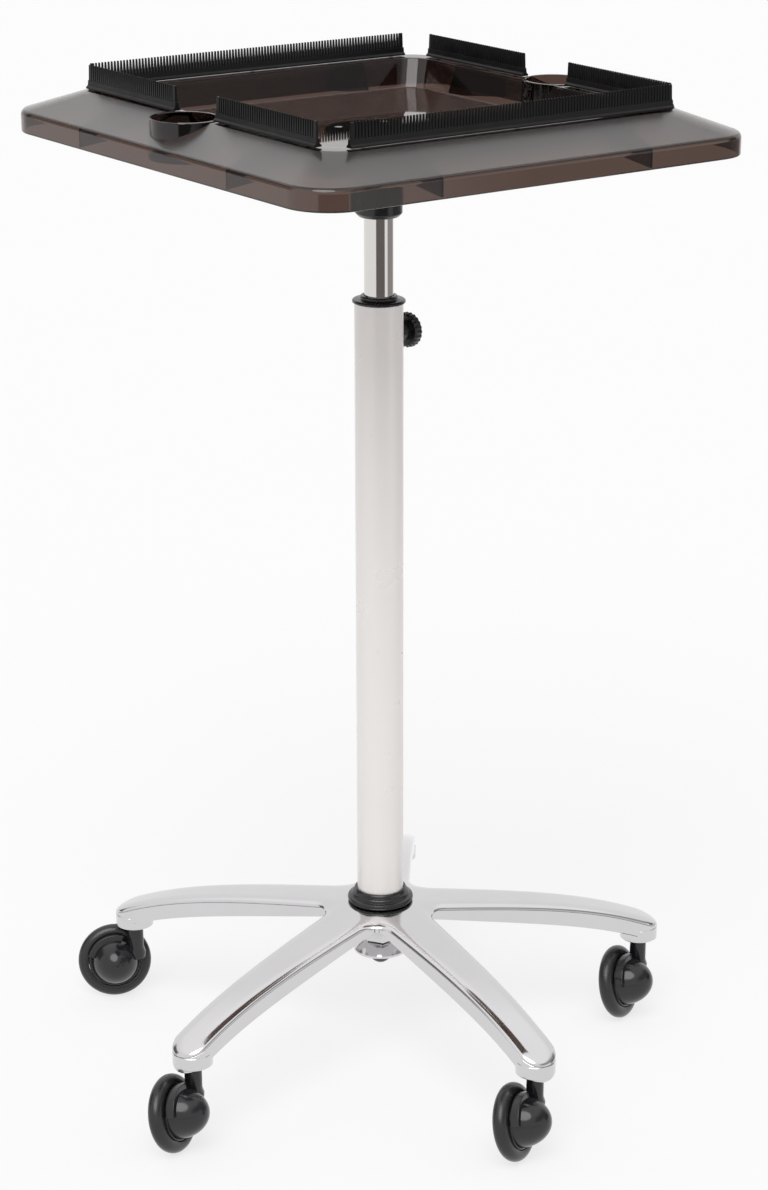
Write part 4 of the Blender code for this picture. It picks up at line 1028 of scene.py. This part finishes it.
def armChannel(turn):
    # what is cut out under one arm
    mesh = bmesh.new()
    rings = []
    last = star["circle"] - star["bossRadius"] - star["skin"] / 2
    for k in range(star["channelSteps"] + 1):
        x = star["channelStart"] + (last - star["channelStart"]) * k / star["channelSteps"]
        w = armHalf(x) - star["wallInset"] - star["skin"]
        top = armTop(x) - star["plate"] - star["wallInset"]
        low = armLow(x) - 2 * star["skin"]
        corners = [(-w, low), (w, low), (w, top), (-w, top)]
        rings.append([mesh.verts.new(turn @ Vector((x, y, z))) for y, z in corners])
    for upper, lower in zip(rings, rings[1:]):
        joinLoops(mesh, upper, lower)
    mesh.faces.new(rings[0])
    mesh.faces.new(rings[-1])
    return meshPiece("channel", mesh)


def starSkin():
    # rolled top plate, with the walls under it set in behind a groove
    plate = star["plate"]
    spread = star["crotchSpread"]
    soft = star["softEdge"]
    levels = []
    for share in star["rollShares"]:
        fall = star["rollDrop"] * (1 - sqrt(max(0.0, 1 - share ** 2)))
        inset = star["rollWidth"] * (1 - share)
        levels.append((inset, star["crotch"], spread, lambda r, fall=fall: armTop(r) - fall))
    levels.append((0.0, star["crotch"], spread, lambda r: armTop(r) - plate + soft))
    levels.append((soft, star["crotch"], spread, lambda r: armTop(r) - plate))
    inset = star["wallInset"]
    groove = star["grooveInset"]
    low = star["innerCrotch"]
    walls = [
        (groove, low, 0, lambda r: armTop(r) - plate * star["tuck"]),
        (groove, low, 0, lambda r: armTop(r) - plate - star["grooveHeight"]),
        (inset, low, 0, lambda r: armTop(r) - plate - star["grooveHeight"] - star["grooveStep"]),
    ]
    for inward, lift in star["wallEdge"]:
        walls.append((inset + inward, low, 0, lambda r, lift=lift: armLow(r) + lift))
    return combine(starSolid("starBase", levels), starSolid("starWalls", walls), "UNION")


def makeStar():
    base = starSkin()
    bossTop = star["hubTop"] - star["plate"] / 2
    boss = turnPiece("hubBoss", rodOutline(star["hubBossRadius"], star["hubBottom"], bossTop), 96)
    combine(base, softenEdges(boss, 0.0010, 3), "UNION")
    bossHigh = armLow(star["circle"]) + 2 * star["skin"]
    tipBoss = turnPiece("tipBoss", rodOutline(star["bossRadius"], star["tipBottom"], bossHigh), 72)
    softenEdges(tipBoss, 0.0007, 3)
    outline = rodOutline(star["stemRadius"] + gap, star["boreLow"], star["tipBottom"] + star["boreDepth"])
    bore = turnPiece("bore", outline, 40)
    tips = []
    bores = []
    channels = []
    for k in range(star["arms"]):
        spot = armTurn(k) @ Matrix.Translation((star["circle"], 0, 0))
        tips.append(copyPiece(tipBoss, "tip", spot))
        bores.append(copyPiece(bore, "boreCopy", spot))
        channels.append(armChannel(armTurn(k)))
    bpy.data.objects.remove(tipBoss)
    bpy.data.objects.remove(bore)
    combine(base, joinPieces(*tips), "UNION")
    combine(base, joinPieces(*channels), "DIFFERENCE")
    combine(base, joinPieces(*bores), "DIFFERENCE")
    floor = star["hubBottom"] + star["hubFloor"]
    bolt = star["boltRadius"] + gap
    column = mast["columnRadius"] + gap
    outline = [
        (0, star["hubBottom"] - overrun), (bolt, star["hubBottom"] - overrun), (bolt, floor),
        (column, floor), (column, star["hubTop"] + overrun), (0, star["hubTop"] + overrun),
    ]
    combine(base, turnPiece("columnBore", outline, 96), "DIFFERENCE")
    finishPiece(base, "polishedAluminium", "base", "star_base", smooth=28)
    print("star base:", len(base.data.polygons), "faces")


makeStar()


# under and over the hub

hub = {
    "ringRadius": 0.0286, "ringHeight": 0.012, "spacerFlats": 0.0265, "washerRadius": 0.0235,
    "washerRim": 0.0893, "washerThickness": 0.0022, "washerRise": 0.0083, "headRadius": 0.010,
    "headBottom": 0.0763, "boltTop": 0.1415, "headSteps": 9, "washerSteps": 14, "washerFlat": 0.8,
    "beadSteps": 6, "beadHeight": 0.20, "beadHalf": 0.18, "beadReach": 1.4,
    "ringSteps": ((3.2, 0.42), (3.5, 0.46), (3.5, 0.60), (4.3, 0.68), (5.3, 0.70), (5.6, 0.75),
                  (5.6, 0.90), (6.4, 1.0)),
}


def makeRing():
    # ring round the column, stepped in above a bead at its foot
    bore = mast["columnRadius"] + gap
    low = star["hubTop"] + gap
    high = hub["ringHeight"]
    wide = hub["ringRadius"]
    step = (wide - bore) / 8
    reach = hub["beadReach"] * step
    outline = [(bore, low), (wide - step * 0.6, low)]
    for k in range(hub["beadSteps"] + 1):
        a = -pi / 2 + pi * k / hub["beadSteps"]
        lift = hub["beadHeight"] + hub["beadHalf"] * sin(a)
        outline.append((wide - reach + reach * cos(a), low + high * lift))
    for across, share in hub["ringSteps"]:
        outline.append((wide - across * step, low + high * share))
    outline.append((bore, low + high))
    finishTurned("columnRing", outline, 112, 0.00025, 2, "blackPlastic", "base", "column_ring", angle=35)


def makeSpacer():
    low = hub["washerRim"] + hub["washerThickness"] + hub["washerRise"] + gap
    high = star["hubBottom"] - gap
    wide = hub["spacerFlats"] / 2 / cos(pi / 6)
    leaveEditMode()
    bpy.ops.mesh.primitive_cylinder_add(vertices=6, radius=wide, depth=high - low)
    spacer = nameNew("baseSpacer")
    turn = Matrix.Rotation(star["firstArm"] + pi / star["arms"] + pi / 2, 4, "Z")
    settle(spacer, Matrix.Translation((0, 0, (low + high) / 2)) @ turn)
    softenEdges(spacer, 0.0009, 3)
    outline = rodOutline(star["boltRadius"] + gap, low - overrun, high + overrun)
    combine(spacer, turnPiece("spacerBore", outline, 48), "DIFFERENCE", "EXACT")
    finishPiece(spacer, "polishedAluminium", "base", "base_spacer")


def makeWasher():
    flat = hub["spacerFlats"] / 2 * hub["washerFlat"]
    under = [(star["boltRadius"] + gap, hub["washerRim"] + hub["washerRise"])]
    for k in range(hub["washerSteps"] + 1):
        share = k / hub["washerSteps"]
        r = flat + (hub["washerRadius"] - flat) * share
        under.append((r, hub["washerRim"] + hub["washerRise"] * (1 - share ** 2)))
    outline = under + [(r, z + hub["washerThickness"]) for r, z in under[::-1]]
    finishTurned("baseWasher", outline, 96, 0.0004, 2, "polishedAluminium", "base", "base_washer", angle=40)


def makeBolt():
    r = hub["headRadius"]
    outline = []
    for k in range(hub["headSteps"] + 1):
        a = pi / 2 * k / hub["headSteps"]
        outline.append((r * sin(a), hub["headBottom"] + r * (1 - cos(a))))
    seat = hub["washerRim"] + hub["washerRise"] - gap
    thin = star["boltRadius"]
    outline += [(r, seat), (thin, seat), (thin, hub["boltTop"]), (0, hub["boltTop"])]
    bolt = softenEdges(turnPiece("baseBolt", outline, 64), 0.0003, 2, 50)
    finishPiece(bolt, "blackPlastic", "base", "base_bolt")


makeRing()
makeSpacer()
makeWasher()
makeBolt()
print("hub stack made")


# casters: built once about the stem and copied to the five tips

caster = {
    "turns": [radians(a) for a in (-61.2, -63.3, -61.2, -117.9, -59.9)], "tilt": radians(13.9),
    "wheelRadius": 0.0334, "tyreRadius": 0.03305, "tyreWidth": 0.0134, "tyreSeat": 0.0240,
    "trail": 0.0188, "side": 0.0105,
    "domeRadius": 0.0218, "domeReach": 0.0329, "domeStart": 0.0046, "domeWall": 0.0022,
    "flange": 0.0012, "flangeWidth": 0.0016, "axleRadius": 0.003, "axleDepth": 0.026, "axleGrip": 0.007,
    "bossWall": 0.0026, "face": 0.0038, "back": 0.0044, "neckRadius": 0.0073, "neckTop": 0.0724,
    "stemLow": 0.0604, "stemHigh": 0.0869, "stemBoreHigh": 0.0844, "neckFoot": 0.006, "neckFlare": 0.011,
    "fin": 0.0032, "finEnds": ((radians(-108), -1), (radians(-16), 1)), "domeSteps": 16, "tyreSteps": 24,
    "domeSeat": (0.0002, 0.0003, 0.0006), "neckShares": (0.30, 1.15, 1.22), "finStart": 1.4, "finReach": 2.4,
    "axleHead": (1.9, 0.6, 0.7), "axlePlay": 0.00008, "wheelPlay": 0.0006, "dish": 0.0012,
    "dishInner": (0.0075, 0.0085),
    "dishOuter": (0.0030, 0.0018),
}


def wheelPlace():
    tread = caster["tyreWidth"] / 2
    height = (caster["wheelRadius"] - tread) * cos(caster["tilt"]) + tread
    return (Matrix.Translation((-caster["side"], -caster["trail"], height))
            @ Matrix.Rotation(pi / 2 - caster["tilt"], 4, "Y"))


def domeOutline(grow=0.0):
    start = caster["domeStart"]
    points = []
    for k in range(caster["domeSteps"] + 1):
        a = k / caster["domeSteps"] * pi / 2
        height = start + (caster["domeReach"] - start + grow) * sin(a)
        points.append(((caster["domeRadius"] + grow) * cos(a), height))
    return points


def makeDome():
    start = caster["domeStart"]
    rim = start + caster["flangeWidth"]
    wide = caster["domeRadius"] + caster["flange"]
    out, low, free = caster["domeSeat"]
    dome = [p for p in domeOutline() if p[1] > rim + free]
    dome[-1] = (0, caster["domeReach"])
    foot = (caster["domeRadius"] + out, rim + low)
    return turnPiece("hood", [(0, start), (wide, start), (wide, rim), foot] + dome, 72)


def makeFin():
    # rib on the dome's leading flank
    inner = caster["domeRadius"] - caster["domeWall"] * caster["finStart"]
    outer = caster["domeRadius"] + caster["fin"]
    near = caster["domeStart"] + 2 * caster["flangeWidth"]
    far = near + caster["fin"] * caster["finReach"]
    box = [(inner, near), (outer, near), (outer, far), (inner, far)]
    fin = softenEdges(turnPiece("fin", box, 120, closed=True), 0.0007, 2)
    editAll(fin)
    for a, side in caster["finEnds"]:
        cutAway((0, 0, 0), (-side * sin(a), side * cos(a), 0))
    return settle(fin, Matrix.Rotation(radians(90), 4, "Z"))


def makeHood(place):
    drop, flare, swell = caster["neckShares"]
    foot = place.translation.z + caster["domeRadius"] * drop
    wide = caster["neckRadius"]
    top = caster["neckTop"]
    outline = [
        (0, foot), (wide * flare, foot), (wide * swell, foot + caster["neckFoot"]),
        (wide, foot + caster["neckFlare"]), (wide, top), (0, top),
    ]
    hood = settle(makeDome(), place)
    combine(hood, softenEdges(turnPiece("neck", outline, 48), 0.0005, 2), "UNION")
    combine(hood, settle(makeFin(), place @ Matrix.Rotation(radians(180), 4, "Z")), "UNION")
    boss = caster["axleRadius"] + caster["bossWall"]
    bossEnd = caster["axleDepth"] - caster["axleGrip"]
    bore = caster["axleRadius"] + gap
    openEnd = caster["domeStart"] - caster["flangeWidth"]
    inside = [p for p in domeOutline(-caster["domeWall"]) if p[0] > boss + caster["domeWall"] / 2]
    inside[0] = (inside[0][0], openEnd)
    outline = [(0, openEnd)] + inside + [(boss, inside[-1][1]), (boss, bossEnd), (bore, bossEnd)]
    outline += [(bore, caster["axleDepth"] + gap), (0, caster["axleDepth"] + gap)]
    combine(hood, settle(turnPiece("hollow", outline, 72), place), "DIFFERENCE")
    outline = rodOutline(star["stemRadius"] + gap, caster["stemLow"] - gap, caster["stemBoreHigh"])
    return combine(hood, turnPiece("stemBore", outline, 40), "DIFFERENCE")


def makeAxle():
    thin = caster["axleRadius"]
    headShare, thickShare, flat = caster["axleHead"]
    head = thin * headShare
    thick = thin * thickShare
    back = -caster["back"] - gap
    outline = [
        (0, back - thick), (head * flat, back - thick), (head, back - thick / 2), (head, back),
        (thin, back), (thin, caster["axleDepth"]), (0, caster["axleDepth"]),
    ]
    return turnPiece("axle", outline, 40)


def makeWheel():
    back = -caster["back"]
    dished = back + caster["dish"]
    rim = caster["tyreSeat"] - gap
    bore = caster["axleRadius"] + caster["axlePlay"]
    boss = caster["axleRadius"] + caster["bossWall"]
    hubEnd = caster["axleDepth"] - caster["axleGrip"] - caster["wheelPlay"]
    near, far = caster["dishInner"]
    foot, lip = caster["dishOuter"]
    outline = [
        (bore, back), (near, back), (far, dished), (rim - foot, dished), (rim - lip, back), (rim, back),
        (rim, caster["face"]), (boss, caster["face"]), (boss, hubEnd), (bore, hubEnd),
    ]
    return softenEdges(turnPiece("wheel", outline, 96, closed=True), 0.0003, 2)


def makeTyre():
    tread = caster["tyreWidth"] / 2
    seat = caster["tyreSeat"]
    centre = caster["tyreRadius"] - tread
    spin = asin(min(0.99, (centre - seat) / tread))
    outline = []
    for k in range(caster["tyreSteps"] + 1):
        a = -pi / 2 - spin + (pi + 2 * spin) * k / caster["tyreSteps"]
        outline.append((centre + tread * cos(a), tread * sin(a)))
    outline[0] = (seat, outline[0][1])
    outline[-1] = (seat, outline[-1][1])
    return turnPiece("tyre", outline, 112, closed=True)


def makeCaster():
    place = wheelPlace()
    stem = turnPiece("stem", rodOutline(star["stemRadius"], caster["stemLow"], caster["stemHigh"]), 40)
    return {
        "hood": makeHood(place), "stem": softenEdges(stem, 0.0004, 2), "axle": settle(makeAxle(), place),
        "wheel": settle(makeWheel(), place), "tyre": settle(makeTyre(), place),
    }


def makeCasters():
    pattern = makeCaster()
    carried = {
        "hood": ("hoodPlastic", "swivel"), "stem": ("zincSteel", "swivel"), "axle": ("zincSteel", "swivel"),
        "wheel": ("blackPlastic", "wheel"), "tyre": ("tyreRubber", "wheel"),
    }
    for k in range(star["arms"]):
        stem = armTurn(k) @ Vector((star["circle"], 0, 0))
        spot = Matrix.Translation(stem) @ Matrix.Rotation(caster["turns"][k], 4, "Z")
        for part, (finish, body) in carried.items():
            piece = copyPiece(pattern[part], "caster%d%s" % (k + 1, part.title()), spot)
            finishPiece(piece, finish, "%s_%d" % (body, k + 1), "caster_%d_%s" % (k + 1, part))
    for piece in pattern.values():
        bpy.data.objects.remove(piece)
    print("casters: 5")


makeCasters()


# studio

white = (1.0, 1.0, 1.0)
dark = (0.16, 0.145, 0.14)
grey = (0.34, 0.32, 0.31)
studio = {
    "fill": 0.62, "key": 1.45, "keyAngle": radians(42), "keyHeight": 54.0, "keySide": -12.0, "keyReach": 4,
    "floorColour": (0.92, 0.915, 0.915), "floorRadius": 40, "backdrop": 0.72,
    "overhead": 1.15, "front": 0.35, "frontSide": radians(-50), "cameraSide": radians(-126.71),
    "worldBands": ((-130, white), (-122, dark), (-96, dark), (-88, white),
                   (82, white), (90, dark), (118, dark), (126, white)),
    "floorBands": ((-22, white), (-19, dark), (46, dark), (49, white),
                   (70, white), (74, grey), (138, grey), (143, white)),
}


def bandRamp(tree, vector, stops):
    # brightness by compass heading, 0 behind the object and 0.5 at the camera
    c, s = cos(studio["cameraSide"]), sin(studio["cameraSide"])
    right = addVectorMath(tree, "DOT_PRODUCT", vector, (-s, c, 0))
    ahead = addVectorMath(tree, "DOT_PRODUCT", vector, (c, s, 0))
    heading = addMath(tree, "ARCTAN2", right, ahead)
    position = addMath(tree, "ADD", addMath(tree, "DIVIDE", heading, 2 * pi), 0.5)
    ramp = addNode(tree, "ShaderNodeValToRGB")
    tree.links.new(position, ramp.inputs["Fac"])
    bands = ramp.color_ramp.elements
    bands.remove(bands[-1])
    bands[0].position = 0.0
    bands[0].color = (*white, 1)
    for degrees, colour in stops:
        bands.new(degrees / 360 + 0.5).color = (*colour, 1)
    return ramp.outputs["Color"]


def makeWorld():
    world = bpy.data.worlds.new("studio")
    bpy.context.scene.world = world
    world.use_nodes = True
    tree = world.node_tree
    way = addNode(tree, "ShaderNodeTexCoord").outputs["Generated"]
    height = heightOf(tree, way)
    bands = bandRamp(tree, way, studio["worldBands"])
    level = addMath(tree, "MULTIPLY", addRamp(tree, height, 0.05, 40.0), addRamp(tree, 0.60, height, 12.0))
    banded = mixColours(tree, level, white, bands)
    banded = mixColours(tree, addRamp(tree, height, 0.66, 8.0), banded, (studio["overhead"],) * 3)
    # a darker patch that the tray's well mirrors
    side = studio["frontSide"]
    near = addVectorMath(tree, "DOT_PRODUCT", way, (cos(side), sin(side), 0))
    between = addMath(tree, "MULTIPLY", addRamp(tree, height, 0.25, 6.0), addRamp(tree, 0.75, height, 8.0))
    dimmed = addMath(tree, "MULTIPLY", addRamp(tree, near, 0.55, 5.0), between)
    banded = mixColours(tree, dimmed, banded, (studio["front"],) * 3)
    path = addNode(tree, "ShaderNodeLightPath")
    seen = mixColours(tree, path.outputs["Is Glossy Ray"], white, banded)
    colour = mixColours(tree, path.outputs["Is Diffuse Ray"], seen, (studio["fill"],) * 3)
    tree.links.new(colour, tree.nodes["Background"].inputs["Color"])
    tree.nodes["Background"].inputs["Strength"].default_value = 1.0


def makeFloor():
    leaveEditMode()
    bpy.ops.mesh.primitive_circle_add(vertices=96, radius=studio["floorRadius"], fill_type="NGON")
    floor = nameNew("studioFloor")
    finish, tree, shader = newMaterial("studioFloor")
    place = objectPlace(tree)
    pale = studio["floorColour"]
    drift = mixColours(tree, addNoise(tree, place, 3.0, 4.0), pale, tuple(c * 0.985 for c in pale))
    tree.links.new(drift, shader.inputs["Base Color"])
    shader.inputs["Roughness"].default_value = 0.9
    shader.inputs["Specular IOR Level"].default_value = 0.0
    bands = bandRamp(tree, place, studio["floorBands"])
    path = addNode(tree, "ShaderNodeLightPath")
    far = addRamp(tree, addVectorMath(tree, "LENGTH", place), 1.4, 2.0)
    glossy = addMath(tree, "MULTIPLY", far, path.outputs["Is Glossy Ray"])
    glow = addNode(tree, "ShaderNodeEmission")
    tree.links.new(mixColours(tree, glossy, white, bands), glow.inputs["Color"])
    mix = addNode(tree, "ShaderNodeMixShader")
    through = addMath(tree, "MAXIMUM", path.outputs["Is Glossy Ray"], path.outputs["Is Transmission Ray"])
    straight = addMath(tree, "MULTIPLY", path.outputs["Is Camera Ray"], studio["backdrop"])
    tree.links.new(addMath(tree, "MAXIMUM", through, straight), mix.inputs["Fac"])
    tree.links.new(shader.outputs[0], mix.inputs[1])
    tree.links.new(glow.outputs[0], mix.inputs[2])
    tree.links.new(mix.outputs[0], tree.nodes["Material Output"].inputs["Surface"])
    floor.data.materials.append(finish)


def makeKey():
    lamp = bpy.data.lights.new("keyLight", "SUN")
    lamp.energy = studio["key"]
    lamp.angle = studio["keyAngle"]
    holder = placeNew("keyLight", lamp)
    a = studio["cameraSide"] + radians(studio["keySide"])
    e = radians(studio["keyHeight"])
    toward = Vector((cos(a) * cos(e), sin(a) * cos(e), sin(e)))
    holder.rotation_euler = toward.to_track_quat("Z", "Y").to_euler()
    holder.location = toward * studio["keyReach"]


# camera fitted to the photograph's frame of 768 by 1190, with half of its lens shift, so that the object
# stays in the frame from every side

view = {
    "distance": 2.3938, "height": 1.2248, "pitch": 0.3904, "yaw": 0.0600, "roll": 0.0203,
    "focal": 2986.4, "centreX": 546.0, "centreY": 792.0, "turn": radians(-36.71), "width": 768, "tall": 1190,
}


def makeCamera():
    cp, sp = cos(view["pitch"]), sin(view["pitch"])
    cy, sy = cos(view["yaw"]), sin(view["yaw"])
    level = Vector((cy, -sy, 0))
    ahead = Vector((sy * cp, cy * cp, -sp))
    up = Vector((sy * sp, cy * sp, cp))
    cr, sr = cos(view["roll"]), sin(view["roll"])
    axes = Matrix((level * cr + up * sr, up * cr - level * sr, -ahead)).transposed()
    place = Matrix.Translation((0, -view["distance"], view["height"])) @ axes.to_4x4()
    lens = bpy.data.cameras.new("photoCamera")
    lens.sensor_width = 36
    lens.sensor_fit = "AUTO"
    lens.lens = view["focal"] / view["tall"] * 36
    lens.shift_x = -(view["centreX"] - view["width"] / 2) / view["tall"]
    lens.shift_y = (view["centreY"] - view["tall"] / 2) / view["tall"]
    lens.clip_end = 100
    holder = placeNew("photoCamera", lens)
    holder.matrix_world = Matrix.Rotation(view["turn"], 4, "Z") @ place
    bpy.context.scene.camera = holder


makeWorld()
makeFloor()
makeKey()
makeCamera()
bpy.context.scene.view_settings.view_transform = "Standard"
print("studio and camera made")
